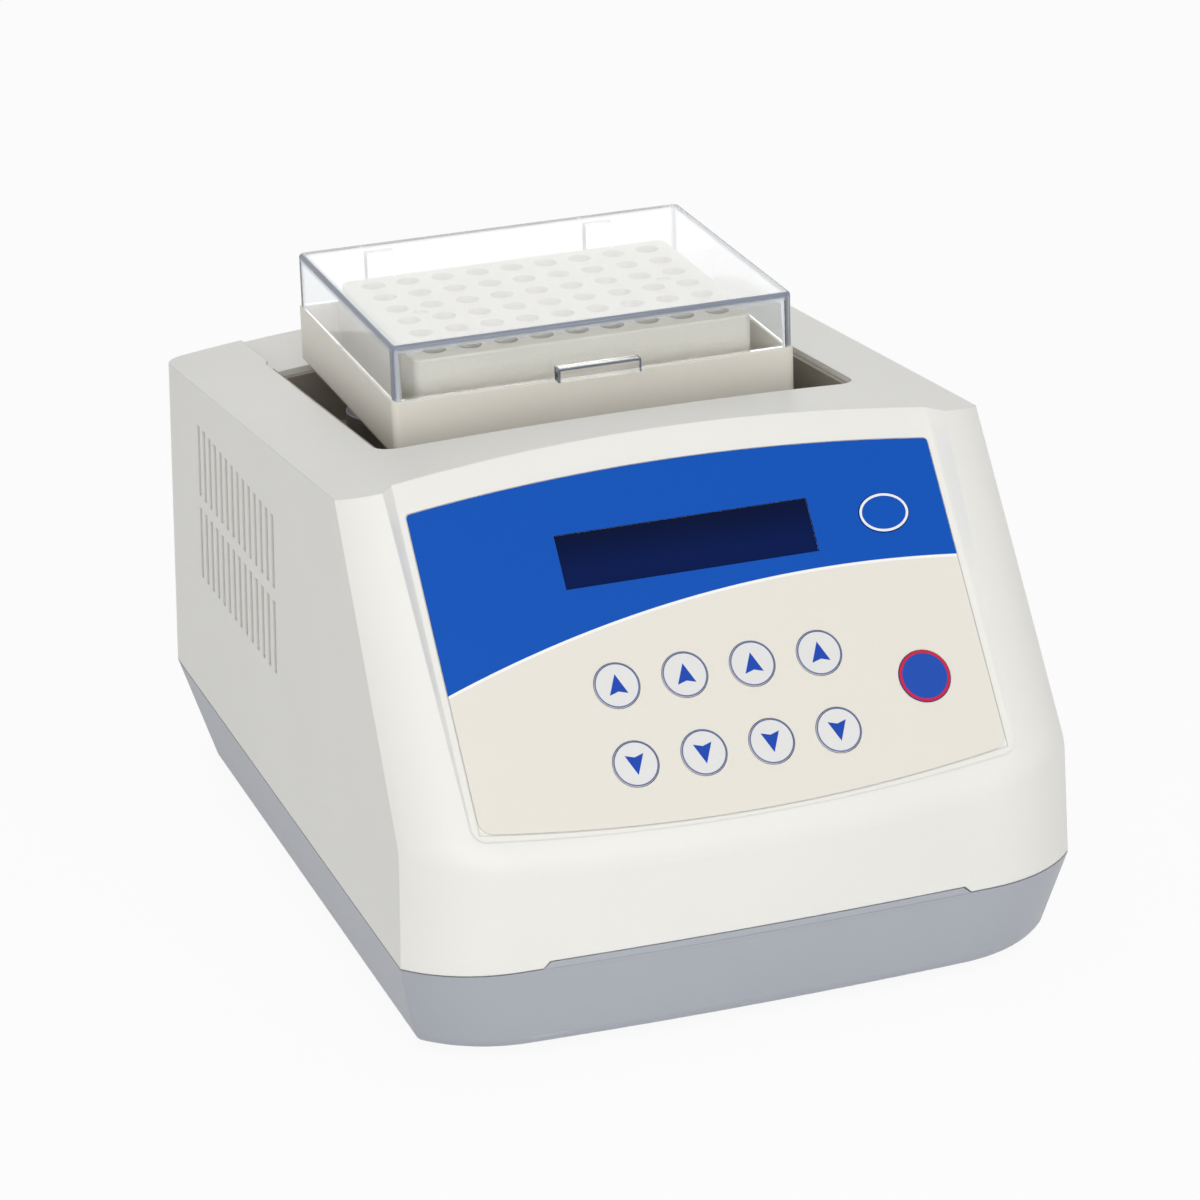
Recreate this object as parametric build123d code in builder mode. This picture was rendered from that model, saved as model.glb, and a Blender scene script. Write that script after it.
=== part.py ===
from build123d import *
import os
from math import radians, sin, cos, tan, atan2

os.makedirs("parts", exist_ok=True)

# Bench thermal mixer: a dry block for 54 small tubes on an orbiting tray, in a two-part
# moulded housing with a sloping control panel.  Millimetres, +Z up, front faces -Y,
# origin on the bench under the middle of the housing.

# ---------------------------------------------------------------- driving dimensions

# Housing
body_width = 220.0          # across the side walls at the seam
body_depth = 294.0          # front to back at the seam
foot_height = 4.0
base_height = 30.1          # underside of the base to the seam
base_tuck_side = 6.5        # the hull's underside is drawn in this far
base_tuck_front = 9.0
base_tuck_back = 16.0
base_corner_growth = 15.0
base_edge_radius = 6.0      # rounding of the edge round the underside
tongue_low = 70.0           # half length of the raised front edge, at its foot
tongue_top = 67.4
tongue_rise = 2.1
lip_gap = 0.3
lip_wall = 1.5
lip_half = 80.0             # the locating lip runs this far each side of the middle
lip_height = 4.0            # above and below the seam
foot_radius = 9.0
foot_stem_radius = 3.0
foot_taper = 6.0            # degrees
foot_inset = 26.0
foot_from_front = 42.0
foot_from_back = 52.0
seam_gap = 0.4              # shadow line between base and cover
wall = 3.0                  # moulded wall of cover and base
draft = 1.86                # degrees, every upright wall of the cover
front_sag = 2.0             # how far the front bows back before its corners
front_corner_run = 32.0     # width of each rounded front corner
crease_back = 18.0          # front face to the sharp edge of the side wall
rear_corner = 10.0
knee_radius = 16.0          # apron into slope

# Sloping front
panel_slope = 51.5          # degrees from level
panel_top_back = 73.4       # front face to the upper corners of the overlay
panel_top_height = 157.8    # above the bench
visor_rise = 16.4           # overlay corners to the middle of the top edge, up the slope
post_rise_top = 5.2         # side posts stand this proud of the panel at the top
post_rise_bottom = 0.3
post_top_run = 8.0          # up the slope from the overlay's corners to the first of these
post_corner = 27.6          # radius of the posts in plan
post_flat_edge = 25.0       # side wall to the start of that radius
panel_side_margin = 24.0    # side wall to the sunk panel's upright edge
panel_length = 104.0        # down the slope, at its sides
panel_bow = 6.0             # extra length in the middle of the lower edge
panel_corner = 5.0
panel_flare = 14.0          # the sunk panel's sides open out by this much in as much height
panel_run_out = 45.0        # its cut runs this far up past the overlay's corners

# Roof
roof_slope = 5.57           # degrees, falling to the back
roof_radius = 750.0         # crown across the width
overrun = 20.0              # cutters run this far past the housing

# Overlay, keys and display
overlay_thickness = 0.6
overlay_seat = 0.4
overlay_width = 171.0
overlay_length = 102.0
overlay_bow_top = 5.6
overlay_bow_bottom = 6.5
overlay_corner_top = 1.2
overlay_gap = 0.3
key_radius = 7.2
key_gap = 0.25
key_columns = 4
key_column_pitch = 22.0
key_row_up = 63.3           # down the slope from the overlay's upper corners
key_row_down = 88.4
key_proud = 0.25
key_flange = 1.4            # wider than the cap, behind the wall
key_flange_thickness = 1.2
key_stem_radius = 2.0
key_stem_gap = 0.1          # pressed key to its switch
key_travel = 0.4
start_key_radius = 8.3
start_key_x = 64.8
start_key_down = 76.0
mix_key_half_width = 8.1
mix_key_half_height = 6.3
mix_key_x = 65.3
mix_key_down = 22.0
window_width = 82.6
window_height = 17.4
window_down = 22.2
window_sunk = 0.4
window_gap = 0.15
module_gap = 0.3            # panel wall to the display module
module_margin_side = 5.0
module_margin_end = 4.5
board_depth = 14.0          # panel face to the front of the control board
board_thickness = 1.6
board_width = 164.0
board_length = 98.0
board_centre_down = 52.0
board_screw_x = 76.0
board_screw_top = 10.0
board_screw_low = 94.0
board_boss_radius = 3.2
board_screw_length = 7.0
board_boss_floor = 1.5      # left over the bosses' screw holes
chip_x = (-40.0, -12.0, 25.0)
chip_down = 60.0
chip_side = 18.0
chip_height = 5.0
connector_x = 55.0
connector_down = 40.0
connector_width = 9.0
connector_length = 40.0
switch_side = 6.0
switch_body = 3.5
switch_plunger = 0.8
switch_plunger_radius = 1.6
key_flange_gap = 0.2
key_edge = 0.2

# Tray, block and clear lid
tray_setback = 102.0        # back face to the middle of the tray
tray_width = 136.4
tray_depth = 109.0
tray_top = 171.0
tray_height = 18.0
tray_wall = 3.0
tray_floor = 2.5
tray_corner = 2.5
plate_inset = 2.5
tray_plate_thickness = 4.0
pad_thickness = 3.0
heater_thickness = 5.0
block_width = 114.6
block_depth = 84.0
block_height = 19.5
block_forward = 2.0         # block centre ahead of the tray centre
well_columns = 9
well_rows = 6
well_pitch_x = 12.05
well_pitch_y = 13.3
well_radius = 3.9
well_straight = 7.0
well_taper_depth = 9.0
well_tip_radius = 1.6
block_corner = 3.0
block_edge = 0.6
tray_screw_out = 4.4        # block's side to the tray screws
tray_screw_y = 40.0         # tray's middle to the tray screws
block_screw_sink = 0.4      # heads lie this far below the block's top
small_head_gap = 0.2
sensor_radius = 1.5
sensor_length = 14.0
sensor_x = 20.0
sensor_end_gap = 0.3
sensor_collar = 0.8         # wider than the probe, each side
sensor_collar_gap = 0.2
sensor_collar_length = 2.5
lid_width = 135.3
lid_depth = 108.4
lid_height = 18.2
lid_wall = 2.0
lid_corner = 2.5
lid_gap = 0.3
lid_edge = 1.2
tab_width = 28.0
tab_reach = 4.0
tab_height = 4.5
hinge_x = 38.9
hinge_width = 9.6
hinge_back = 4.5            # lid's back wall to the hinge axis
hinge_drop = 2.0            # tray's top edge down to the hinge axis
hinge_pin_radius = 1.5
hinge_lug = 3.0
hinge_barrel = 3.2
hinge_lug_step = 2.2        # barrel's top down to the top of the lug's root
ear_foot = 3.4              # lid's lower edge to the hinge ears' foot on its back wall
ear_top = 13.0
ear_trim = 0.7              # ears are this much thinner than the barrel
ear_root = 3.0

# Recess round the tray
recess_side_gap = 12.3
recess_front_gap = 19.5
recess_back_gap = 13.5
recess_front_bow = 10.0
recess_corner = 9.0
ramp_drop = 6.0             # at the recess, below the roof
ramp_slope = -4.0           # degrees from level, falling to the front
ramp_narrower = 1.5         # than the recess, each side
liner_gap = 0.3
liner_wall = 2.0
liner_floor_z = 124.0
liner_below_rim = 2.0
liner_flange = 4.0
liner_hole_gap = 4.0

# Vents in both side walls
vent_count = 14
vent_rows = 2
vent_pitch = 7.08
vent_width = 3.0
vent_height = 25.0
vent_row_pitch = 29.5
vent_centre_z = 106.3
vent_from_back = 94.0       # back face to the middle of the vents
vent_reach = 14.0

# Orbit drive
orbit = 1.5                 # eccentricity, so the tray runs on a 3 mm circle
chassis_z = 100.0
chassis_thickness = 4.0
chassis_width = 156.0
chassis_depth = 116.0
chassis_post_radius = 6.0
chassis_post_inset = 8.0
chassis_corner = 6.0
chassis_screw_length = 14.0
motor_radius = 32.0
motor_height = 42.0
motor_boss_radius = 11.0
motor_boss_height = 2.0     # above the chassis plate
motor_boss_gap = 0.3
motor_cap = 4.0
motor_screw_circle = 22.0
motor_screw_bite = 7.0
shaft_radius = 4.0
shaft_end_gap = 0.3
crank_hub_radius = 12.0
crank_hub_z = 110.0
crank_pin_z = 128.0
crank_pin_radius = 7.5
bearing_outer_radius = 14.0
bearing_width = 9.0
hub_wall = 6.0
hub_drop = 11.0             # below the tray plate
idler_x = 55.0
idler_pin_radius = 5.0
idler_disc_radius = 11.0
idler_disc_z = 112.0
idler_disc_height = 6.0
pin_end_gap = 1.5           # crank and idler pins to the tray plate
bush_outer_radius = 9.0
bush_height = 12.0
boss_wall = 4.0
running = 0.05              # radial running clearance of every pin
seat = 0.02                 # radial clearance of a bush or bearing in its seat
weight_radius = 34.0
weight_z = 111.0
weight_height = 9.0
weight_hub_wall = 6.0

# Cooling fan
fan_size = 50.0
fan_corner = 3.0
fan_screw_inset = 4.0
fan_thickness = 15.0
fan_z = 94.0
fan_bore = 23.0
fan_hub = 11.0
fan_blades = 7
fan_tip_gap = 0.8
fan_wall_gap = 0.4
fan_struts = 4
fan_strut = 3.0
fan_strut_depth = 1.6
fan_shaft = 1.5
fan_shaft_short = 2.0       # shaft's end below the frame's far face
rotor_gap = 0.5             # struts to the rotor
rotor_end_gap = 1.0         # rotor to the frame's far face
fan_chord = 9.0
fan_blade_thickness = 1.2
fan_blade_pitch = 38.0      # degrees
fan_blade_bite = 0.4        # into the hub
fan_head_radius = 2.4
bracket_thickness = 1.5
bracket_foot = 14.0
bracket_screw_y = 18.0
bracket_screw_out = 2.0     # foot's middle to its screws

# Back panel: mains inlet, fuse drawer and switch
inlet_x = -60.0
inlet_z = 74.0
inlet_flange_width = 34.0
inlet_flange_height = 52.0
inlet_flange_thickness = 1.6
inlet_body_width = 28.4
inlet_body_height = 44.0
inlet_body_depth = 24.0
socket_width = 24.0
socket_height = 16.4
socket_depth = 18.0
socket_corner = 5.0
socket_down = 9.0           # socket centre below the flange centre
pin_sunk = 4.6
pin_thickness = 2.0
pin_height = 4.0
pin_pitch = 14.0
pin_offset = 2.0
drawer_width = 24.0
drawer_height = 10.0
drawer_depth = 19.0
drawer_up = 11.0
drawer_wall = 1.0
drawer_floor = 1.5
drawer_end_gap = 0.5
drawer_sunk = 0.1
drawer_gap = 0.3
notch_width = 10.0
notch_height = 2.0
notch_depth = 1.2
switch_x = -18.0
switch_width = 15.0
switch_height = 21.0
switch_depth = 17.0
switch_flange = 0.6
rocker_width = 11.2
rocker_half = 8.0
rocker_well = 8.9
rocker_well_depth = 7.5
rocker_pivot = 2.5
rocker_crest = 1.0
rocker_pin = 1.2
rocker_pin_reach = 0.8
rocker_taper = 0.7          # its foot is this share of its top
fuse_radius = 2.4
fuse_length = 20.0
fuse_depth = 6.0            # drawer's face to the fuse's axis
supply_width = 110.0
supply_depth = 70.0
supply_from_front = 75.0
supply_height = 14.0
supply_boss_radius = 3.5
supply_screw_inset = 5.0
supply_screw_bite = 5.0
transformer_x = -26.0
transformer_y = 6.0
transformer_width = 40.0
transformer_depth = 34.0
transformer_height = 28.0
capacitor_x = (12.0, 34.0)
capacitor_y = 14.0
capacitor_radius = 9.0
capacitor_height = 24.0
sink_x = 22.0
sink_y = -16.0
sink_width = 44.0
sink_plate = 3.0
sink_height = 20.0
fin_count = 6
fin_pitch = 8.0
fin_thickness = 2.0
fin_depth = 12.0
rocker_up = 12.0            # degrees, raised half of the rocker from level
rocker_down = 4.0           # degrees, pressed half
rear_sink = 1.2             # rear flanges sit in shallow pockets
rear_gap = 0.2

# Fasteners
screw_radius = 1.7
screw_head_radius = 3.4
screw_head = 2.4
screw_gap = 0.05
head_gap = 0.15
small_screw_radius = 1.2
small_head_radius = 2.2
small_head = 1.6
case_boss_radius = 5.0
case_boss_top = 22.0
case_screw_inset = 15.0     # side wall to the case screws
case_screw_front = 46.0     # front face to the front pair
case_screw_rear = 40.0      # back face to the rear pair
case_sink = 6.0
case_bite = 20.0
case_screw_length = 24.0
case_post_top = 64.0
case_post_gap = 0.3         # boss on the base to the post above it
case_web = 5.0
case_web_trim = 3.6

# ---------------------------------------------------------------- values that follow

half_width = body_width / 2
front_y = -body_depth / 2
back_y = body_depth / 2
seam_z = foot_height + base_height
cover_z = seam_z + seam_gap
floor_z = foot_height + wall

up_y, up_z = cos(radians(panel_slope)), sin(radians(panel_slope))
panel_y = front_y + panel_top_back
panel = Plane(origin=(0, panel_y, panel_top_height), x_dir=(1, 0, 0), z_dir=(0, -up_z, up_y))
visor_y = panel_y + visor_rise * up_y
visor_z = panel_top_height + visor_rise * up_z
panel_half = half_width - panel_side_margin + 2.0
overlay_half = overlay_width / 2

tray_y = back_y - tray_setback
shell_z = tray_top - tray_height
plate_top = shell_z
plate_z = plate_top - tray_plate_thickness
hub_z = plate_z - hub_drop
heater_z = plate_top + pad_thickness
block_z = heater_z + heater_thickness
block_top = block_z + block_height
block_y = tray_y - block_forward
lid_z = tray_top + lid_gap
hinge_y = tray_y + lid_depth / 2 + hinge_back
hinge_z = tray_top - hinge_drop

tray_x = -orbit             # the tray rests at the left end of its orbit
recess_half = tray_width / 2 + recess_side_gap
recess_front = tray_y - tray_depth / 2 - recess_front_gap
recess_back = tray_y + tray_depth / 2 + recess_back_gap
rim_z = liner_floor_z + liner_gap

chassis_top = chassis_z + chassis_thickness
pin_top = plate_z - pin_end_gap
shaft_foot = chassis_z - motor_height + motor_cap + shaft_end_gap
back_tilt = radians(draft)
fan_y = back_y - vent_from_back
supply_z = supply_height
supply_y = front_y + supply_from_front
vent_y = back_y - vent_from_back


def write(piece, name):
    """Label a finished piece and write its STEP file."""
    piece.part.label = name
    export_step(piece.part, f"parts/{name}.step")


def roof_height(x, y):
    """Height of the crowned, sloping roof over a point of the plan."""
    return visor_z - tan(radians(roof_slope)) * (y - visor_y) - x * x / (2 * roof_radius)


def plan_outline(half, front, back, sag, run, crease, rear):
    """Housing outline in plan: bowed front, rounded front corners that end in a sharp
    edge at the side wall, and plain rounded back corners."""
    with BuildSketch() as outline:
        with BuildLine():
            bow = TangentArc((0, front), (half - run, front + sag), tangent=(1, 0))
            corner = TangentArc(bow @ 1, (half, front + crease), tangent=bow % 1)
            side = Line(corner @ 1, (half, back - rear))
            turn = TangentArc(side @ 1, (half - rear, back), tangent=(0, 1))
            Line(turn @ 1, (0, back))
            mirror(about=Plane.YZ)
        make_face()
    return outline.sketch


seam_outline = plan_outline(half_width, front_y, back_y, front_sag, front_corner_run,
                            crease_back, rear_corner)


def roof_prism(drop, slope=roof_slope, height=visor_z):
    """Everything under a crowned roof that falls to the back."""
    reach = half_width + overrun
    depth = 1.5 * visor_z
    fall = reach ** 2 / (2 * roof_radius)
    tilt = radians(slope)
    roof = Plane(origin=(0, visor_y, height - drop), x_dir=(1, 0, 0),
                 z_dir=(0, -cos(tilt), sin(tilt)))
    with BuildPart() as prism:
        with BuildSketch(roof):
            with BuildLine():
                ThreePointArc((-reach, -fall), (0, 0), (reach, -fall))
                Polyline((reach, -fall), (reach, -depth), (-reach, -depth), (-reach, -fall))
            make_face()
        extrude(amount=1.5 * body_depth, both=True)
    return prism.part


# The posts' face: its two heights above the panel set its own slope.
post_top = (panel_y + post_top_run * up_y - post_rise_top * up_z,
            panel_top_height + post_top_run * up_z + post_rise_top * up_y)
post_low = (panel_y - (panel_length + panel_bow) * up_y - post_rise_bottom * up_z,
            panel_top_height - (panel_length + panel_bow) * up_z + post_rise_bottom * up_y)
post_slope = atan2(post_top[1] - post_low[1], post_top[0] - post_low[0])


def slope_prism(inset):
    """Everything behind the sloping front, whose side corners are rounded."""
    y_low = post_low[0] - (post_low[1] - foot_height) / tan(post_slope) + inset / sin(post_slope)
    radius = post_corner - inset
    edge = half_width - post_flat_edge
    with BuildPart() as prism:
        with BuildSketch(Plane.XY.offset(foot_height)):
            with BuildLine():
                flat = Line((0, y_low), (edge, y_low))
                turn = TangentArc(flat @ 1, (edge + radius, y_low + radius), tangent=(1, 0))
                Polyline(turn @ 1, (edge + radius, back_y + 2 * overrun), (0, back_y + 2 * overrun))
                mirror(about=Plane.YZ)
            make_face()
        extrude(amount=(visor_z + overrun) / sin(post_slope),
                dir=(0, cos(post_slope), sin(post_slope)))
    return prism.part


def panel_face(grow, offset_out):
    """Outline of the sunk panel, grown by a margin, on a plane above or below it."""
    half = panel_half + grow
    low = -panel_length - grow
    with BuildSketch(panel.offset(offset_out)) as face:
        with BuildLine():
            Polyline((-half, low), (-half, panel_run_out), (half, panel_run_out), (half, low))
            ThreePointArc((half, low), (0, low - panel_bow), (-half, low))
        make_face()
        fillet(face.vertices().group_by(Axis.Z)[0], radius=panel_corner)
    return face.sketch


def panel_wedge(inset):
    """The space cut out of the front to sink the panel, with flared sides."""
    with BuildPart() as wedge:
        loft([panel_face(inset, -inset).face(),
              panel_face(inset + panel_flare, panel_flare - inset).face()], ruled=True)
    return wedge.part


def cover_form(inset):
    """The cover as a solid block, shrunk by an inset on every face."""
    with BuildPart() as form:
        with BuildSketch(Plane.XY.offset(cover_z if inset == 0 else seam_z)):
            add(seam_outline)
            if inset:
                offset(amount=-inset, kind=Kind.INTERSECTION)
        extrude(amount=visor_z + overrun - cover_z, taper=draft)
        add(slope_prism(inset), mode=Mode.INTERSECT)
        add(roof_prism(inset), mode=Mode.INTERSECT)
        knee = [edge for edge in form.edges()
                if edge.center().Z < post_low[1] + 2 and edge.center().Z > cover_z + wall
                and edge.center().Y < front_y + crease_back - 2
                and abs((edge % 0.5).Z) < 0.5]
        fillet(knee, radius=knee_radius - inset)
        add(panel_wedge(inset), mode=Mode.SUBTRACT)
    return form.part


def recess_outline(grow):
    """Plan of the recess round the tray, with a bowed front edge."""
    half = recess_half + grow
    front = recess_front - grow
    back = recess_back + grow
    with BuildSketch() as outline:
        with BuildLine():
            ThreePointArc((-half, front), (0, front - recess_front_bow), (half, front))
            Polyline((half, front), (half, back), (-half, back), (-half, front))
        make_face()
        fillet(outline.vertices(), radius=recess_corner + grow)
    return outline.sketch


def ramp_cut(inset):
    """The space over the ramp that runs from the recess to the back edge."""
    half = recess_half - ramp_narrower + inset
    start = recess_back - recess_corner
    lift = roof_height(0, recess_back) - ramp_drop
    ramp = radians(ramp_slope)
    height = lift + tan(ramp) * (recess_back - visor_y)
    with BuildPart() as cut:
        with BuildSketch(Plane.XY.offset(liner_floor_z)):
            with Locations((0, (start + back_y + overrun) / 2)):
                Rectangle(2 * half, back_y + overrun - start)
        extrude(amount=visor_z + overrun - liner_floor_z)
        add(roof_prism(inset, slope=ramp_slope, height=height), mode=Mode.SUBTRACT)
    return cut.part


key_spots = []
for row_name, row_down in (("key_up", key_row_up), ("key_down", key_row_down)):
    for column in range(key_columns):
        key_x = (column - (key_columns - 1) / 2) * key_column_pitch
        key_spots.append((f"{row_name}_{column + 1}", key_x, -row_down))
all_keys = key_spots + [("key_start_stop", start_key_x, -start_key_down),
                        ("key_short_mix", mix_key_x, -mix_key_down)]


def key_shape(name, grow):
    """Outline of one key, grown by a margin, drawn in the sketch that is open."""
    if name == "key_start_stop":
        Circle(start_key_radius + grow)
    elif name == "key_short_mix":
        Ellipse(mix_key_half_width + grow, mix_key_half_height + grow)
    else:
        Circle(key_radius + grow)


def key_holes(gap):
    """All key outlines in the panel's own axes, grown by a gap."""
    with BuildSketch() as holes:
        for name, x, y in all_keys:
            with Locations((x, y)):
                key_shape(name, gap)
    return holes.sketch


def overlay_face(gap):
    """Outline of the overlay in the panel's own axes, grown by a gap."""
    half = overlay_half + gap
    with BuildSketch() as face:
        with BuildLine():
            ThreePointArc((-half, gap), (0, overlay_bow_top + gap), (half, gap))
            Line((half, gap), (half, -overlay_length - gap))
            ThreePointArc((half, -overlay_length - gap),
                          (0, -overlay_length - overlay_bow_bottom - gap),
                          (-half, -overlay_length - gap))
            Line((-half, -overlay_length - gap), (-half, gap))
        make_face()
        fillet(face.vertices().group_by(Axis.Y)[-1], radius=overlay_corner_top + gap)
    return face.sketch


def hull(inset):
    """Base hull between the tucked-in underside and the seam."""
    underside = plan_outline(half_width - base_tuck_side, front_y + base_tuck_front,
                             back_y - base_tuck_back, front_sag, front_corner_run,
                             crease_back, rear_corner + base_corner_growth)
    with BuildPart() as body:
        with BuildSketch(Plane.XY.offset(foot_height)):
            add(underside)
            if inset:
                offset(amount=-inset, kind=Kind.INTERSECTION)
        with BuildSketch(Plane.XY.offset(seam_z)):
            add(seam_outline)
            if inset:
                offset(amount=-inset, kind=Kind.INTERSECTION)
        loft(ruled=True)
        if inset == 0:
            fillet(body.edges().group_by(Axis.Z)[0], radius=base_edge_radius)
    return body.part


def tongue(gap):
    """Raised middle of the base's front edge, with sloping ends."""
    with BuildPart() as piece:
        with BuildSketch(Plane.XZ.offset(-front_y - wall - 1)):
            with BuildLine():
                Polyline((-tongue_low - gap, seam_z - 2), (-tongue_low - gap, seam_z),
                         (-tongue_top - gap, seam_z + tongue_rise + gap),
                         (tongue_top + gap, seam_z + tongue_rise + gap),
                         (tongue_low + gap, seam_z), (tongue_low + gap, seam_z - 2), close=True)
            make_face()
        extrude(amount=wall + 1 + tongue_rise)
    return piece.part


def seam_ring(outer, inner, bottom, top):
    """Upright ring that follows the seam outline between two insets."""
    with BuildPart() as ring:
        with BuildSketch(Plane.XY.offset(bottom)):
            add(seam_outline)
            if outer:
                offset(amount=-outer, kind=Kind.INTERSECTION)
        extrude(amount=top - bottom)
        with BuildSketch(Plane.XY.offset(bottom)):
            add(seam_outline)
            offset(amount=-inner, kind=Kind.INTERSECTION)
        extrude(amount=top - bottom, mode=Mode.SUBTRACT)
    return ring.part


def screws(spots, plane, head, head_height, shank, length, way=1):
    """Screws, one solid each; way is 1 with the heads on the plane's positive side, else -1."""
    with BuildPart() as group:
        with BuildSketch(plane):
            with Locations(spots):
                Circle(head)
        extrude(amount=way * head_height)
        with BuildSketch(plane):
            with Locations(spots):
                Circle(shank)
        extrude(amount=-way * length)
    return group


def column(sketch, low, high):
    """Upright column on a plan outline."""
    with BuildPart() as solid:
        with BuildSketch(Plane.XY.offset(low)):
            add(sketch)
        extrude(amount=high - low)
    return solid.part


def back_plane(x, z):
    """A plane on the back wall's outer face, facing out, with its own y pointing up."""
    y = back_y - (z - cover_z) * tan(back_tilt)
    return Plane(origin=(x, y, z), x_dir=(-1, 0, 0), z_dir=(0, cos(back_tilt), sin(back_tilt)))


case_spots = [(side * (half_width - case_screw_inset), y) for side in (-1, 1)
              for y in (front_y + case_screw_front, back_y - case_screw_rear)]
foot_spots = [(side * (half_width - foot_inset), y) for side in (-1, 1)
              for y in (front_y + foot_from_front, back_y - foot_from_back)]
post_spots = [(sx * (chassis_width / 2 - chassis_post_inset),
               tray_y + sy * (chassis_depth / 2 - chassis_post_inset))
              for sx in (-1, 1) for sy in (-1, 1)]
motor_spots = [(motor_screw_circle * cos(radians(angle)),
                tray_y + motor_screw_circle * sin(radians(angle))) for angle in range(45, 360, 90)]
idler_spots = [(-idler_x, tray_y), (idler_x, tray_y)]
idler_pin_spots = [(x + tray_x, y) for x, y in idler_spots]
board_spots = [(sx * board_screw_x, y) for sx in (-1, 1) for y in (-board_screw_top, -board_screw_low)]
supply_spots = [(sx * (supply_width / 2 - supply_screw_inset),
                 supply_y + sy * (supply_depth / 2 - supply_screw_inset))
                for sx in (-1, 1) for sy in (-1, 1)]
tray_spots = [(tray_x + sx * (block_width / 2 + tray_screw_out), tray_y + sy * tray_screw_y)
              for sx in (-1, 1) for sy in (-1, 1)]
fan_inner_x = (half_width - (fan_z + fan_size / 2 - cover_z) * tan(back_tilt) - wall
               - fan_wall_gap - fan_thickness)
fan_plane = Plane(origin=(-fan_inner_x, fan_y, fan_z), x_dir=(0, -1, 0), z_dir=(-1, 0, 0))
fan_screw_half = fan_size / 2 - fan_screw_inset
fan_spots = [(sx * fan_screw_half, sy * fan_screw_half) for sx in (-1, 1) for sy in (-1, 1)]
bracket_spots = [(-fan_inner_x + bracket_foot / 2 + bracket_screw_out,
                  fan_y + side * bracket_screw_y) for side in (-1, 1)]
inlet_plane = back_plane(inlet_x, inlet_z)
switch_plane = back_plane(switch_x, inlet_z)

# ---------------------------------------------------------------- housing

with BuildPart() as base_inside:
    add(hull(wall))
    split(bisect_by=Plane.XY.offset(floor_z), keep=Keep.TOP)

with BuildPart() as locating_lip:
    add(seam_ring(wall + lip_gap, wall + lip_gap + lip_wall, seam_z - lip_height,
                  seam_z + lip_height))
    with BuildSketch(Plane.XY.offset(seam_z - lip_height - 1)):
        Rectangle(2 * lip_half, body_depth)
    extrude(amount=2 * lip_height + 2, mode=Mode.INTERSECT)

with BuildPart() as front_lip:
    add(tongue(0))
    add(seam_ring(seam_gap / 2, wall, seam_z - 1, seam_z + tongue_rise + 1),
        mode=Mode.INTERSECT)

with BuildPart() as base_pan:
    add(hull(0))
    add(base_inside.part, mode=Mode.SUBTRACT)
    add(locating_lip.part)
    add(front_lip.part)
    with BuildSketch(Plane.XY.offset(foot_height + 1)):
        with Locations(case_spots):
            Circle(case_boss_radius)
    extrude(amount=case_boss_top - foot_height - 1)
    with BuildSketch(Plane.XY.offset(foot_height + 1)):
        with Locations(supply_spots):
            Circle(supply_boss_radius)
    extrude(amount=supply_z - foot_height - 1)
    with BuildSketch(Plane.XY.offset(foot_height)):
        with Locations(case_spots):
            Circle(screw_radius + screw_gap)
        with Locations(post_spots, bracket_spots):
            Circle(screw_radius + screw_gap)
        with Locations(foot_spots):
            Circle(foot_stem_radius + screw_gap)
    extrude(amount=case_boss_top, mode=Mode.SUBTRACT)
    with BuildSketch(Plane.XY.offset(foot_height)):
        with Locations(case_spots):
            Circle(screw_head_radius + head_gap)
    extrude(amount=case_sink, mode=Mode.SUBTRACT)
    with BuildSketch(Plane.XY.offset(supply_z)):
        with Locations(supply_spots):
            Circle(small_screw_radius + screw_gap)
    extrude(amount=-supply_screw_bite - 1, mode=Mode.SUBTRACT)
write(base_pan, "base_pan")

cover_outer = cover_form(0)
with BuildPart() as cover_void:
    add(cover_form(wall))
    add(column(recess_outline(wall), rim_z, visor_z + overrun), mode=Mode.SUBTRACT)
    add(ramp_cut(wall), mode=Mode.SUBTRACT)

with BuildPart() as case_posts:
    with BuildSketch(Plane.XY.offset(case_boss_top + case_post_gap)):
        with Locations(case_spots):
            Circle(case_boss_radius)
            Rectangle(2 * case_screw_inset, case_web)
    extrude(amount=case_post_top - case_boss_top - case_post_gap)
    with BuildSketch(Plane.XY.offset(case_boss_top)):
        Rectangle(2 * (half_width - case_screw_inset - case_boss_radius - 0.1), body_depth)
    extrude(amount=case_post_top, mode=Mode.SUBTRACT)
    with BuildSketch(Plane.XY.offset(case_boss_top)):
        Rectangle(body_width + 2 * overrun, body_depth)
        Rectangle(body_width - 2 * wall - 2 * case_web_trim, body_depth, mode=Mode.SUBTRACT)
    extrude(amount=cover_z + 1 - case_boss_top, mode=Mode.SUBTRACT)
    with BuildSketch(Plane.XY.offset(cover_z)):
        Rectangle(body_width + 2 * overrun, body_depth)
        add(seam_outline, mode=Mode.SUBTRACT)
    extrude(amount=case_post_top, taper=-draft, mode=Mode.SUBTRACT)

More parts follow.
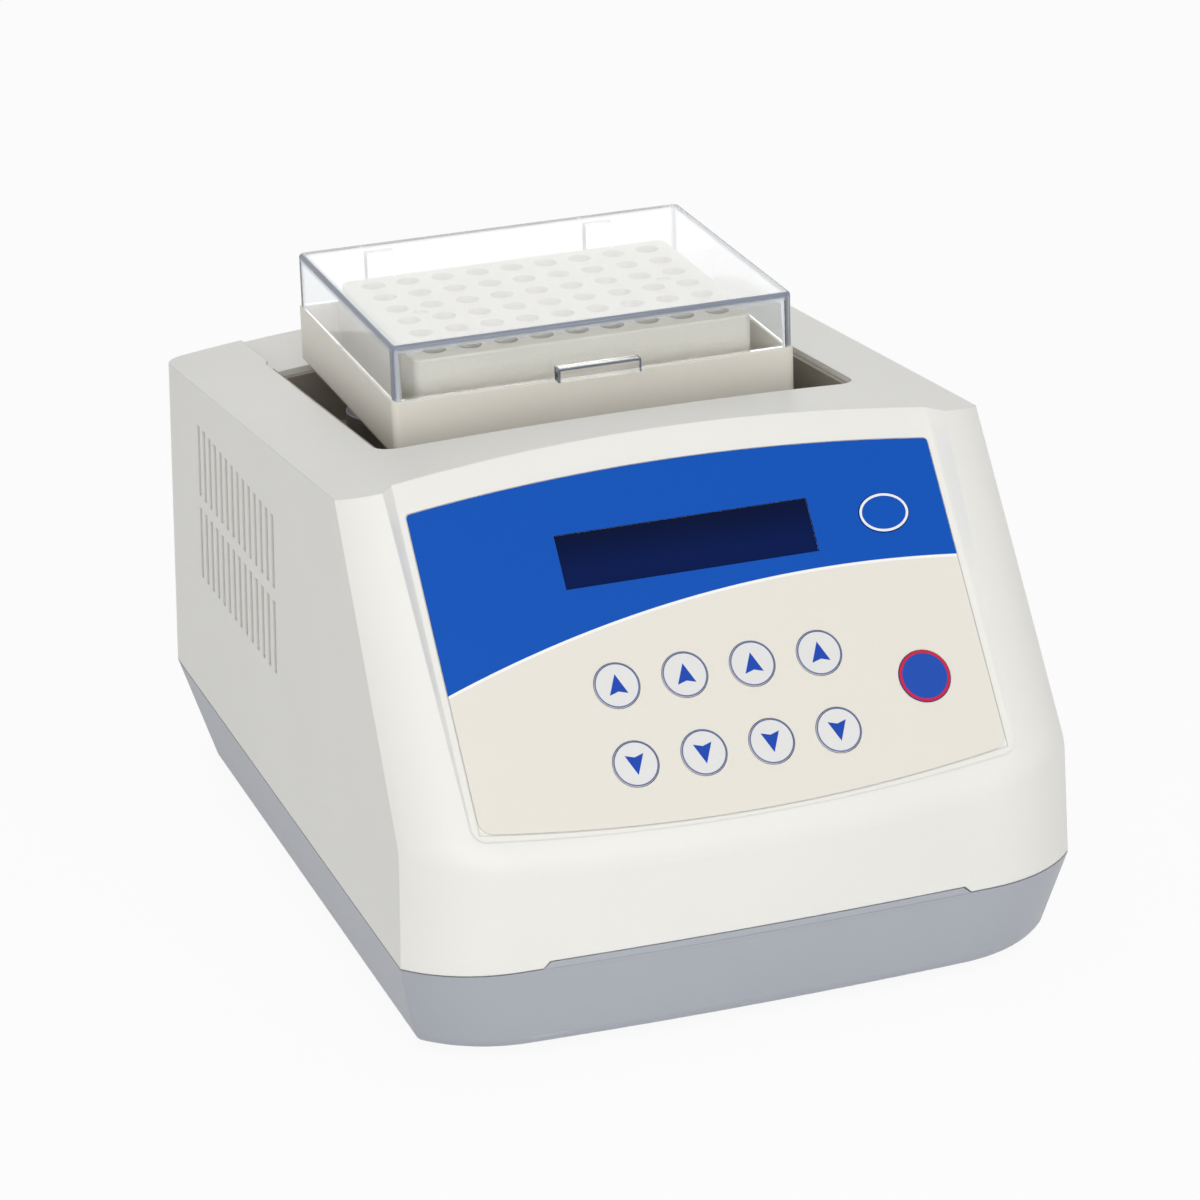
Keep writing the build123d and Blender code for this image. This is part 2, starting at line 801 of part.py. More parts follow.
with BuildPart() as top_cover:
    add(cover_outer)
    add(cover_void.part, mode=Mode.SUBTRACT)
    add(column(recess_outline(0), rim_z - 1, visor_z + overrun), mode=Mode.SUBTRACT)
    add(ramp_cut(0), mode=Mode.SUBTRACT)
    add(tongue(seam_gap), mode=Mode.SUBTRACT)
    for side in (-1, 1):
        with BuildSketch(Plane.YZ.offset(side * (half_width - vent_reach))):
            with Locations((vent_y, vent_centre_z)):
                with GridLocations(vent_pitch, vent_row_pitch, vent_count, vent_rows):
                    Rectangle(vent_width, vent_height)
        extrude(amount=side * (vent_reach + 2), mode=Mode.SUBTRACT)
    with BuildSketch(panel):
        add(overlay_face(overlay_gap))
    extrude(amount=-overlay_seat, mode=Mode.SUBTRACT)
    with BuildSketch(panel):
        add(key_holes(key_gap))
        with Locations((0, -window_down)):
            Rectangle(window_width + 2 * window_gap, window_height + 2 * window_gap)
    extrude(amount=-wall - 1, mode=Mode.SUBTRACT)
    with BuildSketch(panel.offset(-wall + 0.5)):
        with Locations(board_spots):
            Circle(board_boss_radius)
    extrude(amount=-board_depth + wall - 0.5)
    with BuildSketch(panel.offset(-board_depth)):
        with Locations(board_spots):
            Circle(small_screw_radius + screw_gap)
    extrude(amount=board_depth - wall - board_boss_floor, mode=Mode.SUBTRACT)
    add(case_posts.part)
    with BuildSketch(Plane.XY.offset(case_boss_top)):
        with Locations(case_spots):
            Circle(screw_radius + screw_gap)
    extrude(amount=case_screw_length, mode=Mode.SUBTRACT)
    for plane, width, height in ((inlet_plane, inlet_flange_width, inlet_flange_height),
                                 (switch_plane, switch_width, switch_height)):
        with BuildSketch(plane):
            Rectangle(width + 2 * rear_gap, height + 2 * rear_gap)
        extrude(amount=-rear_sink, mode=Mode.SUBTRACT)
    with BuildSketch(inlet_plane):
        Rectangle(inlet_body_width + 2 * rear_gap, inlet_body_height + 2 * rear_gap)
    extrude(amount=-wall - 2, mode=Mode.SUBTRACT)
    with BuildSketch(switch_plane):
        Rectangle(switch_width - 2 * switch_flange + 2 * rear_gap,
                  switch_height - 2 * switch_flange + 2 * rear_gap)
    extrude(amount=-wall - 2, mode=Mode.SUBTRACT)
write(top_cover, "top_cover")

with BuildPart() as rubber_feet:
    with BuildSketch():
        with Locations(foot_spots):
            Circle(foot_radius)
    extrude(amount=foot_height, taper=-foot_taper)
    with BuildSketch(Plane.XY.offset(foot_height - 1)):
        with Locations(foot_spots):
            Circle(foot_stem_radius)
    extrude(amount=wall + 3)
write(rubber_feet, "rubber_feet")

case_screws = screws(case_spots, Plane.XY.offset(foot_height + case_sink), screw_head_radius,
                     screw_head, screw_radius, case_boss_top - foot_height - case_sink + case_bite,
                     way=-1)
write(case_screws, "case_screws")

with BuildPart() as liner_walls:
    add(column(recess_outline(-liner_gap), liner_floor_z - 0.5, visor_z))
    add(column(recess_outline(-liner_gap - liner_wall), liner_floor_z - 1, visor_z + 1),
        mode=Mode.SUBTRACT)
    add(roof_prism(liner_below_rim), mode=Mode.INTERSECT)
    add(ramp_cut(liner_below_rim), mode=Mode.SUBTRACT)

with BuildPart() as recess_liner:
    add(column(recess_outline(wall + liner_flange), liner_floor_z - liner_wall, liner_floor_z))
    add(liner_walls.part)
    with BuildSketch(Plane.XY.offset(liner_floor_z + 1)):
        with Locations((0, tray_y)):
            Circle(crank_hub_radius + liner_hole_gap)
        with Locations(idler_spots):
            Circle(idler_pin_radius + orbit + liner_hole_gap)
    extrude(amount=-liner_wall - 2, mode=Mode.SUBTRACT)
write(recess_liner, "recess_liner")

# ---------------------------------------------------------------- control panel

with BuildPart() as panel_overlay:
    with BuildSketch(panel.offset(-overlay_seat)):
        add(overlay_face(0))
        add(key_holes(key_gap), mode=Mode.SUBTRACT)
        with Locations((0, -window_down)):
            Rectangle(window_width + 2 * window_gap, window_height + 2 * window_gap,
                      mode=Mode.SUBTRACT)
    extrude(amount=overlay_thickness)
write(panel_overlay, "panel_overlay")

window_top = overlay_thickness - overlay_seat - window_sunk
with BuildPart() as display_window:
    with BuildSketch(panel.offset(window_top)):
        with Locations((0, -window_down)):
            Rectangle(window_width, window_height)
    extrude(amount=-wall - window_top)
write(display_window, "display_window")

with BuildPart() as display_module:
    with BuildSketch(panel.offset(-wall - module_gap)):
        with Locations((0, -window_down)):
            Rectangle(window_width + 2 * module_margin_side, window_height + 2 * module_margin_end)
    extrude(amount=-board_depth + wall + module_gap)
write(display_module, "display_module")

with BuildPart() as control_board:
    with BuildSketch(panel.offset(-board_depth)):
        with Locations((0, -board_centre_down)):
            Rectangle(board_width, board_length)
        with Locations(board_spots):
            Circle(small_screw_radius + screw_gap, mode=Mode.SUBTRACT)
    extrude(amount=-board_thickness)
    with BuildSketch(panel.offset(-board_depth - board_thickness)):
        with Locations([(x, -chip_down) for x in chip_x]):
            Rectangle(chip_side, chip_side)
        with Locations((connector_x, -connector_down)):
            Rectangle(connector_width, connector_length)
    extrude(amount=-chip_height)
write(control_board, "control_board")

board_screws = screws(board_spots, panel.offset(-board_depth - board_thickness),
                      small_head_radius, small_head, small_screw_radius, board_screw_length, way=-1)
write(board_screws, "board_screws")

with BuildPart() as key_switches:
    with BuildSketch(panel.offset(-board_depth)):
        with Locations([(x, y) for name, x, y in all_keys]):
            Rectangle(switch_side, switch_side)
    extrude(amount=switch_body)
    with BuildSketch(panel.offset(-board_depth + switch_body)):
        with Locations([(x, y) for name, x, y in all_keys]):
            Circle(switch_plunger_radius)
    extrude(amount=switch_plunger)
write(key_switches, "key_switches")

key_top = overlay_thickness - overlay_seat + key_proud
stem_foot = -board_depth + switch_body + switch_plunger + key_travel + key_stem_gap
for name, x, y in all_keys:
    with BuildPart() as key:
        with BuildSketch(panel.offset(key_top)):
            with Locations((x, y)):
                key_shape(name, 0)
        extrude(amount=-key_top - wall - key_flange_gap - 0.5)
        chamfer(key.faces().sort_by(Axis(panel.origin, panel.z_dir))[-1].edges(), length=key_edge)
        with BuildSketch(panel.offset(-wall - key_flange_gap)):
            with Locations((x, y)):
                key_shape(name, key_flange)
        extrude(amount=-key_flange_thickness)
        with BuildSketch(panel.offset(-wall - key_flange_gap)):
            with Locations((x, y)):
                Circle(key_stem_radius)
        extrude(amount=stem_foot + wall + key_flange_gap)
    write(key, name)

# ---------------------------------------------------------------- chassis and drive

with BuildPart() as chassis_plate:
    with BuildSketch(Plane.XY.offset(chassis_z)):
        with Locations((0, tray_y)):
            Rectangle(chassis_width, chassis_depth)
        with Locations((0, tray_y)):
            Circle(motor_boss_radius + motor_boss_gap, mode=Mode.SUBTRACT)
        with Locations(post_spots, motor_spots):
            Circle(screw_radius + screw_gap, mode=Mode.SUBTRACT)
        with Locations(idler_spots):
            Circle(bush_outer_radius + seat, mode=Mode.SUBTRACT)
    extrude(amount=chassis_thickness)
    for end in (0, -1):
        fillet(chassis_plate.edges().filter_by(Axis.Z).group_by(Axis.X)[end],
               radius=chassis_corner)
write(chassis_plate, "chassis_plate")

with BuildPart() as chassis_posts:
    with BuildSketch(Plane.XY.offset(floor_z)):
        with Locations(post_spots):
            RegularPolygon(chassis_post_radius, 6)
            Circle(screw_radius + screw_gap, mode=Mode.SUBTRACT)
    extrude(amount=chassis_z - floor_z)
write(chassis_posts, "chassis_posts")

chassis_screws = screws(post_spots, Plane.XY.offset(chassis_top), screw_head_radius, screw_head,
                        screw_radius, chassis_screw_length)
write(chassis_screws, "chassis_screws")

base_screws = screws(post_spots + bracket_spots, Plane.XY.offset(foot_height), screw_head_radius,
                     screw_head, screw_radius, wall + bracket_thickness, way=-1)
write(base_screws, "base_screws")

with BuildPart() as drive_motor:
    with BuildSketch(Plane.XY.offset(chassis_z)):
        with Locations((0, tray_y)):
            Circle(motor_radius)
    extrude(amount=-motor_height)
    with BuildSketch(Plane.XY.offset(chassis_z)):
        with Locations((0, tray_y)):
            Circle(motor_boss_radius)
    extrude(amount=chassis_thickness + motor_boss_height)
    with BuildSketch(Plane.XY.offset(chassis_z - motor_height + motor_cap)):
        with Locations((0, tray_y)):
            Circle(shaft_radius + running)
    extrude(amount=motor_height + chassis_thickness + motor_boss_height, mode=Mode.SUBTRACT)
    with BuildSketch(Plane.XY.offset(chassis_z)):
        with Locations(motor_spots):
            Circle(screw_radius + screw_gap)
    extrude(amount=-motor_screw_bite - 1, mode=Mode.SUBTRACT)
write(drive_motor, "drive_motor")

motor_screws = screws(motor_spots, Plane.XY.offset(chassis_top), screw_head_radius, screw_head,
                      screw_radius, chassis_thickness + motor_screw_bite)
write(motor_screws, "motor_screws")

with BuildPart() as drive_crank:
    with BuildSketch(Plane.XY.offset(shaft_foot)):
        with Locations((0, tray_y)):
            Circle(shaft_radius)
    extrude(amount=crank_hub_z + 1 - shaft_foot)
    with BuildSketch(Plane.XY.offset(crank_hub_z)):
        with Locations((0, tray_y)):
            Circle(crank_hub_radius)
    extrude(amount=crank_pin_z - crank_hub_z)
    with BuildSketch(Plane.XY.offset(crank_pin_z - 1)):
        with Locations((tray_x, tray_y)):
            Circle(crank_pin_radius)
    extrude(amount=pin_top - crank_pin_z + 1)
write(drive_crank, "drive_crank")

with BuildPart() as counterweight:
    with BuildSketch(Plane.XY.offset(weight_z)):
        with Locations((0, tray_y)):
            Circle(weight_radius)
        with Locations((-weight_radius, tray_y)):
            Rectangle(2 * weight_radius, 2 * weight_radius, mode=Mode.SUBTRACT)
        with Locations((0, tray_y)):
            Circle(crank_hub_radius + weight_hub_wall)
            Circle(crank_hub_radius + seat, mode=Mode.SUBTRACT)
    extrude(amount=weight_height)
write(counterweight, "counterweight")

for name, (x, y), (pin_x, pin_y) in zip(("idler_left", "idler_right"), idler_spots, idler_pin_spots):
    with BuildPart() as idler:
        with BuildSketch(Plane.XY.offset(chassis_top - bush_height + 1)):
            with Locations((x, y)):
                Circle(idler_pin_radius)
        extrude(amount=idler_disc_z - chassis_top + bush_height)
        with BuildSketch(Plane.XY.offset(idler_disc_z)):
            with Locations((x, y)):
                Circle(idler_disc_radius)
        extrude(amount=idler_disc_height)
        with BuildSketch(Plane.XY.offset(idler_disc_z + 1)):
            with Locations((pin_x, pin_y)):
                Circle(idler_pin_radius)
        extrude(amount=pin_top - idler_disc_z - 1)
    write(idler, name)

with BuildPart() as chassis_bushes:
    with BuildSketch(Plane.XY.offset(chassis_top + 2)):
        with Locations(idler_spots):
            Circle(bush_outer_radius)
            Circle(idler_pin_radius + running, mode=Mode.SUBTRACT)
    extrude(amount=-bush_height)
write(chassis_bushes, "chassis_bushes")

# ---------------------------------------------------------------- tray, heater and block

with BuildPart() as tray_plate:
    with BuildSketch(Plane.XY.offset(plate_z)):
        with Locations((tray_x, tray_y)):
            Rectangle(tray_width - 2 * plate_inset, tray_depth - 2 * plate_inset)
        with Locations(tray_spots):
            Circle(small_screw_radius + screw_gap, mode=Mode.SUBTRACT)
    extrude(amount=tray_plate_thickness)
    with BuildSketch(Plane.XY.offset(hub_z)):
        with Locations((tray_x, tray_y)):
            Circle(bearing_outer_radius + hub_wall)
        with Locations(idler_pin_spots):
            Circle(bush_outer_radius + boss_wall)
    extrude(amount=hub_drop + 1)
    with BuildSketch(Plane.XY.offset(hub_z)):
        with Locations((tray_x, tray_y)):
            Circle(bearing_outer_radius + seat)
        with Locations(idler_pin_spots):
            Circle(bush_outer_radius + seat)
    extrude(amount=hub_drop - 0.5, mode=Mode.SUBTRACT)
write(tray_plate, "tray_plate")

with BuildPart() as drive_bearing:
    with BuildSketch(Plane.XY.offset(plate_z - 1)):
        with Locations((tray_x, tray_y)):
            Circle(bearing_outer_radius)
            Circle(crank_pin_radius + running, mode=Mode.SUBTRACT)
    extrude(amount=-bearing_width)
write(drive_bearing, "drive_bearing")

with BuildPart() as tray_bushes:
    with BuildSketch(Plane.XY.offset(plate_z - 1)):
        with Locations(idler_pin_spots):
            Circle(bush_outer_radius)
            Circle(idler_pin_radius + running, mode=Mode.SUBTRACT)
    extrude(amount=-hub_drop + 1)
write(tray_bushes, "tray_bushes")

hinge_spots = [tray_x - hinge_x, tray_x + hinge_x]
lug_root_y = tray_y + tray_depth / 2 - 1
with BuildPart() as tray_shell:
    with BuildSketch(Plane.XY.offset(shell_z)):
        with Locations((tray_x, tray_y)):
            RectangleRounded(tray_width, tray_depth, tray_corner)
    extrude(amount=tray_height)
    with BuildSketch(Plane.XY.offset(shell_z + tray_floor)):
        with Locations((tray_x, tray_y)):
            RectangleRounded(tray_width - 2 * tray_wall, tray_depth - 2 * tray_wall, 1.0)
    extrude(amount=tray_height, mode=Mode.SUBTRACT)
    with BuildSketch(Plane.XY.offset(shell_z)):
        with Locations((tray_x, block_y)):
            Rectangle(block_width + 2, block_depth + 2)
        with Locations(tray_spots):
            Circle(small_screw_radius + screw_gap)
    extrude(amount=tray_floor, mode=Mode.SUBTRACT)
    for x in hinge_spots:
        for side in (-1, 1):
            inner = x + side * (hinge_width / 2 + lid_gap)
            with BuildSketch(Plane.YZ.offset(inner)):
                with Locations((hinge_y, hinge_z)):
                    Circle(hinge_barrel)
                with Locations(((lug_root_y + hinge_y) / 2, hinge_z - hinge_lug_step / 2)):
                    Rectangle(hinge_y - lug_root_y, 2 * hinge_barrel - hinge_lug_step)
                with Locations((hinge_y, hinge_z)):
                    Circle(hinge_pin_radius + seat, mode=Mode.SUBTRACT)
            extrude(amount=side * hinge_lug)
write(tray_shell, "tray_shell")

tray_screws = screws(tray_spots, Plane.XY.offset(shell_z + tray_floor), small_head_radius,
                     small_head, small_screw_radius, tray_floor + tray_plate_thickness - 0.5)
write(tray_screws, "tray_screws")

with BuildPart() as hinge_pins:
    for x in hinge_spots:
        with BuildSketch(Plane.YZ.offset(x - hinge_width / 2 - lid_gap - hinge_lug)):
            with Locations((hinge_y, hinge_z)):
                Circle(hinge_pin_radius)
        extrude(amount=hinge_width + 2 * lid_gap + 2 * hinge_lug)
write(hinge_pins, "hinge_pins")

with BuildPart() as insulation_pad:
    with BuildSketch(Plane.XY.offset(plate_top)):
        with Locations((tray_x, block_y)):
            Rectangle(block_width, block_depth)
    extrude(amount=pad_thickness)
write(insulation_pad, "insulation_pad")

sensor_spot = Plane(origin=(tray_x + sensor_x, block_y + block_depth / 2,
                            heater_z + heater_thickness / 2),
                    x_dir=(-1, 0, 0), z_dir=(0, 1, 0))
block_screw_x = (well_columns / 2 - 1) * well_pitch_x
block_screw_spots = [(tray_x + side * block_screw_x, block_y) for side in (-1, 1)]
block_screw_z = block_top - small_head - block_screw_sink
with BuildPart() as heater_plate:
    with BuildSketch(Plane.XY.offset(heater_z)):
        with Locations((tray_x, block_y)):
            Rectangle(block_width, block_depth)
        with Locations(block_screw_spots):
            Circle(small_screw_radius + screw_gap, mode=Mode.SUBTRACT)
    extrude(amount=heater_thickness)
    with BuildSketch(sensor_spot):
        Circle(sensor_radius + screw_gap)
    extrude(amount=-sensor_length, mode=Mode.SUBTRACT)
write(heater_plate, "heater_plate")

with BuildPart() as temperature_sensor:
    with BuildSketch(sensor_spot):
        Circle(sensor_radius)
    extrude(amount=-sensor_length + sensor_end_gap)
    with BuildSketch(sensor_spot.offset(sensor_collar_gap)):
        Circle(sensor_radius + sensor_collar)
    extrude(amount=sensor_collar_length)
    with BuildSketch(sensor_spot):
        Circle(sensor_radius)
    extrude(amount=1)
write(temperature_sensor, "temperature_sensor")

with BuildPart() as tube_block:
    with BuildSketch(Plane.XY.offset(block_z)):
        with Locations((tray_x, block_y)):
            RectangleRounded(block_width, block_depth, block_corner)
    extrude(amount=block_height)
    chamfer(tube_block.faces().sort_by(Axis.Z)[-1].edges(), length=block_edge)
    with Locations((tray_x, block_y, block_top)):
        with GridLocations(well_pitch_x, well_pitch_y, well_columns, well_rows):
            Cylinder(well_radius, 2 * well_straight, mode=Mode.SUBTRACT)
    with Locations((tray_x, block_y, block_top - well_straight - well_taper_depth / 2)):
        with GridLocations(well_pitch_x, well_pitch_y, well_columns, well_rows):
            Cone(well_tip_radius, well_radius, well_taper_depth, mode=Mode.SUBTRACT)
    with BuildSketch(Plane.XY.offset(block_z)):
        with Locations(block_screw_spots):
            Circle(small_screw_radius + screw_gap)
    extrude(amount=block_height, mode=Mode.SUBTRACT)
    with BuildSketch(Plane.XY.offset(block_top)):
        with Locations(block_screw_spots):
            Circle(small_head_radius + small_head_gap)
    extrude(amount=block_screw_z - block_top, mode=Mode.SUBTRACT)
write(tube_block, "tube_block")

block_screws = screws(block_screw_spots, Plane.XY.offset(block_screw_z), small_head_radius,
                      small_head, small_screw_radius, block_screw_z - heater_z - 0.5)
write(block_screws, "block_screws")

# ---------------------------------------------------------------- clear lid

with BuildPart() as clear_lid:
    with BuildSketch(Plane.XY.offset(lid_z)):
        with Locations((tray_x, tray_y)):
            RectangleRounded(lid_width, lid_depth, lid_corner)
    extrude(amount=lid_height)
    fillet(clear_lid.faces().sort_by(Axis.Z)[-1].edges(), radius=lid_edge)
    with BuildSketch(Plane.XY.offset(lid_z)):
        with Locations((tray_x, tray_y)):
            RectangleRounded(lid_width - 2 * lid_wall, lid_depth - 2 * lid_wall, lid_corner - 1)
    extrude(amount=lid_height - lid_wall, mode=Mode.SUBTRACT)
    with BuildSketch(Plane.XY.offset(lid_z)):
        with Locations((tray_x, tray_y - lid_depth / 2 - tab_reach / 2 + 0.5)):
            Rectangle(tab_width, tab_reach + 1)
    extrude(amount=tab_height)
    for x in hinge_spots:
        with BuildSketch(Plane.YZ.offset(x - hinge_width / 2)):
            with Locations((hinge_y, hinge_z)):
                Circle(hinge_barrel)
            with Locations((hinge_y - (hinge_barrel + ear_trim) / 2,
                            (hinge_z + lid_z + ear_top) / 2)):
                Rectangle(hinge_barrel - ear_trim, lid_z + ear_top - hinge_z)
            with Locations((hinge_y - hinge_back + 1, lid_z + (ear_top + ear_foot) / 2)):
                Rectangle(ear_root, ear_top - ear_foot)
            with Locations((hinge_y, hinge_z)):
                Circle(hinge_pin_radius + running, mode=Mode.SUBTRACT)
        extrude(amount=hinge_width)
write(clear_lid, "clear_lid")

# ---------------------------------------------------------------- cooling fan

with BuildPart() as fan_frame:
    with BuildSketch(fan_plane):
        RectangleRounded(fan_size, fan_size, fan_corner)
        Circle(fan_bore, mode=Mode.SUBTRACT)
        with Locations(fan_spots):
            Circle(screw_radius + screw_gap, mode=Mode.SUBTRACT)
    extrude(amount=fan_thickness)
    with BuildSketch(fan_plane):
        Circle(fan_hub)
        with PolarLocations(0, fan_struts, start_angle=45):
            with Locations((fan_bore / 2 + 1, 0)):
                Rectangle(fan_bore + 1, fan_strut)
    extrude(amount=fan_strut_depth)
    with BuildSketch(fan_plane):
        Circle(fan_shaft)
    extrude(amount=fan_thickness - fan_shaft_short)
write(fan_frame, "fan_frame")

rotor_foot = fan_strut_depth + rotor_gap
rotor_height = fan_thickness - rotor_foot - rotor_end_gap
blade_length = fan_bore - fan_tip_gap - fan_hub
with BuildPart() as fan_rotor:
    with BuildSketch(fan_plane.offset(rotor_foot)):
        Circle(fan_hub)
    extrude(amount=rotor_height)
    with Locations(fan_plane.offset(rotor_foot + rotor_height / 2)):
        with PolarLocations(fan_hub + blade_length / 2 - fan_blade_bite, fan_blades):
            Box(blade_length, fan_chord, fan_blade_thickness, rotation=(fan_blade_pitch, 0, 0))
    with BuildSketch(fan_plane):
        Circle(fan_shaft + running)
    extrude(amount=fan_thickness - fan_shaft_short + shaft_end_gap, mode=Mode.SUBTRACT)
write(fan_rotor, "fan_rotor")

with BuildPart() as fan_bracket:
    with BuildSketch(Plane.YZ.offset(-fan_inner_x)):
        with Locations((fan_y, (floor_z + fan_z + fan_size / 2) / 2)):
            Rectangle(fan_size, fan_z + fan_size / 2 - floor_z)
        with Locations((fan_y, fan_z)):
            Circle(fan_bore, mode=Mode.SUBTRACT)
            with Locations(fan_spots):
                Circle(screw_radius + screw_gap, mode=Mode.SUBTRACT)
    extrude(amount=bracket_thickness)
    with BuildSketch(Plane.XY.offset(floor_z)):
        with Locations((-fan_inner_x + bracket_foot / 2, fan_y)):
            Rectangle(bracket_foot, fan_size)
        with Locations(bracket_spots):
            Circle(screw_radius + screw_gap, mode=Mode.SUBTRACT)
    extrude(amount=bracket_thickness)
write(fan_bracket, "fan_bracket")

fan_screws = screws(fan_spots, fan_plane.offset(-bracket_thickness), fan_head_radius, screw_head,
                    screw_radius, bracket_thickness + fan_thickness - 1, way=-1)
write(fan_screws, "fan_screws")

# ---------------------------------------------------------------- power supply and back panel

with BuildPart() as power_board:
    with BuildSketch(Plane.XY.offset(supply_z)):
        with Locations((0, supply_y)):
            Rectangle(supply_width, supply_depth)
        with Locations(supply_spots):
            Circle(small_screw_radius + screw_gap, mode=Mode.SUBTRACT)
    extrude(amount=board_thickness)
    with BuildSketch(Plane.XY.offset(supply_z + board_thickness)):
        with Locations((transformer_x, supply_y + transformer_y)):
            Rectangle(transformer_width, transformer_depth)
    extrude(amount=transformer_height)
    with BuildSketch(Plane.XY.offset(supply_z + board_thickness)):
        with Locations([(x, supply_y + capacitor_y) for x in capacitor_x]):
            Circle(capacitor_radius)
    extrude(amount=capacitor_height)
    with BuildSketch(Plane.XY.offset(supply_z + board_thickness)):
        with Locations((sink_x, supply_y + sink_y)):
            Rectangle(sink_width, sink_plate)
            with GridLocations(fin_pitch, 0, fin_count, 1):
                Rectangle(fin_thickness, fin_depth)
    extrude(amount=sink_height)
write(power_board, "power_board")

supply_screws = screws(supply_spots, Plane.XY.offset(supply_z + board_thickness),
                       small_head_radius, small_head, small_screw_radius,
                       board_thickness + supply_screw_bite)
write(supply_screws, "supply_screws")

flange_back = inlet_plane.offset(-rear_sink)
socket_floor = inlet_flange_thickness - rear_sink - socket_depth
socket_x = socket_width / 2
socket_z = socket_height / 2
pin_spots = [(-pin_pitch / 2, -socket_down - pin_offset), (pin_pitch / 2, -socket_down - pin_offset),
             (0, -socket_down + pin_offset)]
with BuildPart() as power_inlet:
    with BuildSketch(flange_back):
        RectangleRounded(inlet_flange_width, inlet_flange_height, 2)
    extrude(amount=inlet_flange_thickness)
    with BuildSketch(flange_back):
        Rectangle(inlet_body_width, inlet_body_height)
    extrude(amount=-inlet_body_depth)
    with BuildSketch(inlet_plane.offset(2)):
        with Locations((0, -socket_down)):
            Polygon((-socket_x, -socket_z), (socket_x, -socket_z), (socket_x, socket_z - socket_corner),
                    (socket_x - socket_corner, socket_z), (socket_corner - socket_x, socket_z),
                    (-socket_x, socket_z - socket_corner), align=None)
    extrude(amount=socket_floor - 2, mode=Mode.SUBTRACT)
    with BuildSketch(inlet_plane.offset(2)):
        with Locations((0, drawer_up)):
            Rectangle(drawer_width + 2 * drawer_gap, drawer_height + 2 * drawer_gap)
    extrude(amount=-drawer_depth - drawer_end_gap - 2, mode=Mode.SUBTRACT)
    with BuildSketch(inlet_plane.offset(socket_floor)):
        with Locations(pin_spots):
            Rectangle(pin_thickness + 2 * seat, pin_height + 2 * seat)
    extrude(amount=-inlet_body_depth, mode=Mode.SUBTRACT)
write(power_inlet, "power_inlet")

with BuildPart() as inlet_pins:
    with BuildSketch(inlet_plane.offset(inlet_flange_thickness - rear_sink - pin_sunk)):
        with Locations(pin_spots):
            Rectangle(pin_thickness, pin_height)
    extrude(amount=-inlet_body_depth)
write(inlet_pins, "inlet_pins")

drawer_face = inlet_flange_thickness - rear_sink - drawer_sunk
with BuildPart() as fuse_drawer:
    with BuildSketch(inlet_plane.offset(drawer_face)):
        with Locations((0, drawer_up)):
            Rectangle(drawer_width, drawer_height)
    extrude(amount=-drawer_depth - drawer_face)
    with BuildSketch(inlet_plane.offset(-2)):
        with Locations((0, drawer_up)):
            Rectangle(drawer_width - 2 * drawer_wall, drawer_height - 2 * drawer_floor)
    extrude(amount=-drawer_depth + drawer_floor + 2, mode=Mode.SUBTRACT)
    with BuildSketch(inlet_plane.offset(drawer_face)):
        with Locations((0, drawer_up - drawer_height / 2 + 1)):
            Rectangle(notch_width, notch_height)
    extrude(amount=-notch_depth, mode=Mode.SUBTRACT)
write(fuse_drawer, "fuse_drawer")

fuse_up = drawer_up - drawer_height / 2 + drawer_floor + fuse_radius
fuse_end = (inlet_plane.origin + inlet_plane.x_dir * (fuse_length / 2)
            + inlet_plane.y_dir * fuse_up - inlet_plane.z_dir * fuse_depth)
with BuildPart() as fuse:
    with BuildSketch(Plane(origin=fuse_end, x_dir=inlet_plane.y_dir, z_dir=-inlet_plane.x_dir)):
        Circle(fuse_radius)
    extrude(amount=fuse_length)
write(fuse, "fuse")

rocker_side = Plane(origin=switch_plane.origin - switch_plane.z_dir * rocker_pivot,
                    x_dir=switch_plane.y_dir, z_dir=switch_plane.x_dir)
with BuildPart() as switch_frame:
    with BuildSketch(switch_plane.offset(-rear_sink)):
        RectangleRounded(switch_width, switch_height, 1)
    extrude(amount=inlet_flange_thickness)
    with BuildSketch(switch_plane.offset(-rear_sink)):
        Rectangle(switch_width - 2 * switch_flange, switch_height - 2 * switch_flange)
    extrude(amount=-switch_depth)
    with BuildSketch(switch_plane.offset(2)):
        Rectangle(rocker_width + 2 * drawer_gap, 2 * rocker_well)
    extrude(amount=-2 - rocker_well_depth, mode=Mode.SUBTRACT)
    with BuildSketch(rocker_side):
        Circle(rocker_pin + running)
    extrude(amount=rocker_width / 2 + 1, both=True, mode=Mode.SUBTRACT)
write(switch_frame, "switch_frame")

crest = rocker_pivot - rocker_crest
crest_rise = rocker_half * tan(radians(rocker_up))
crest_fall = rocker_half * tan(radians(rocker_down))
rocker_foot = rocker_half * rocker_taper
with BuildPart() as switch_rocker:
    with BuildSketch(rocker_side):
        with BuildLine():
            Polyline((-rocker_half, crest - crest_fall), (0, crest),
                     (rocker_half, crest + crest_rise), (rocker_foot, -rocker_pivot),
                     (-rocker_foot, -rocker_pivot), close=True)
        make_face()
    extrude(amount=rocker_width / 2, both=True)
    with BuildSketch(rocker_side):
        Circle(rocker_pin)
    extrude(amount=rocker_width / 2 + rocker_pin_reach, both=True)
write(switch_rocker, "switch_rocker")
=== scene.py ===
"""Looks of a bench thermal mixer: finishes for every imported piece, the printed film with its
keys' marks, and a studio."""

import logging
from dataclasses import dataclass
from enum import Enum
from math import atan2, cos, degrees, radians, sin

import bmesh
import bpy
import numpy as np
from mathutils import Matrix, Vector


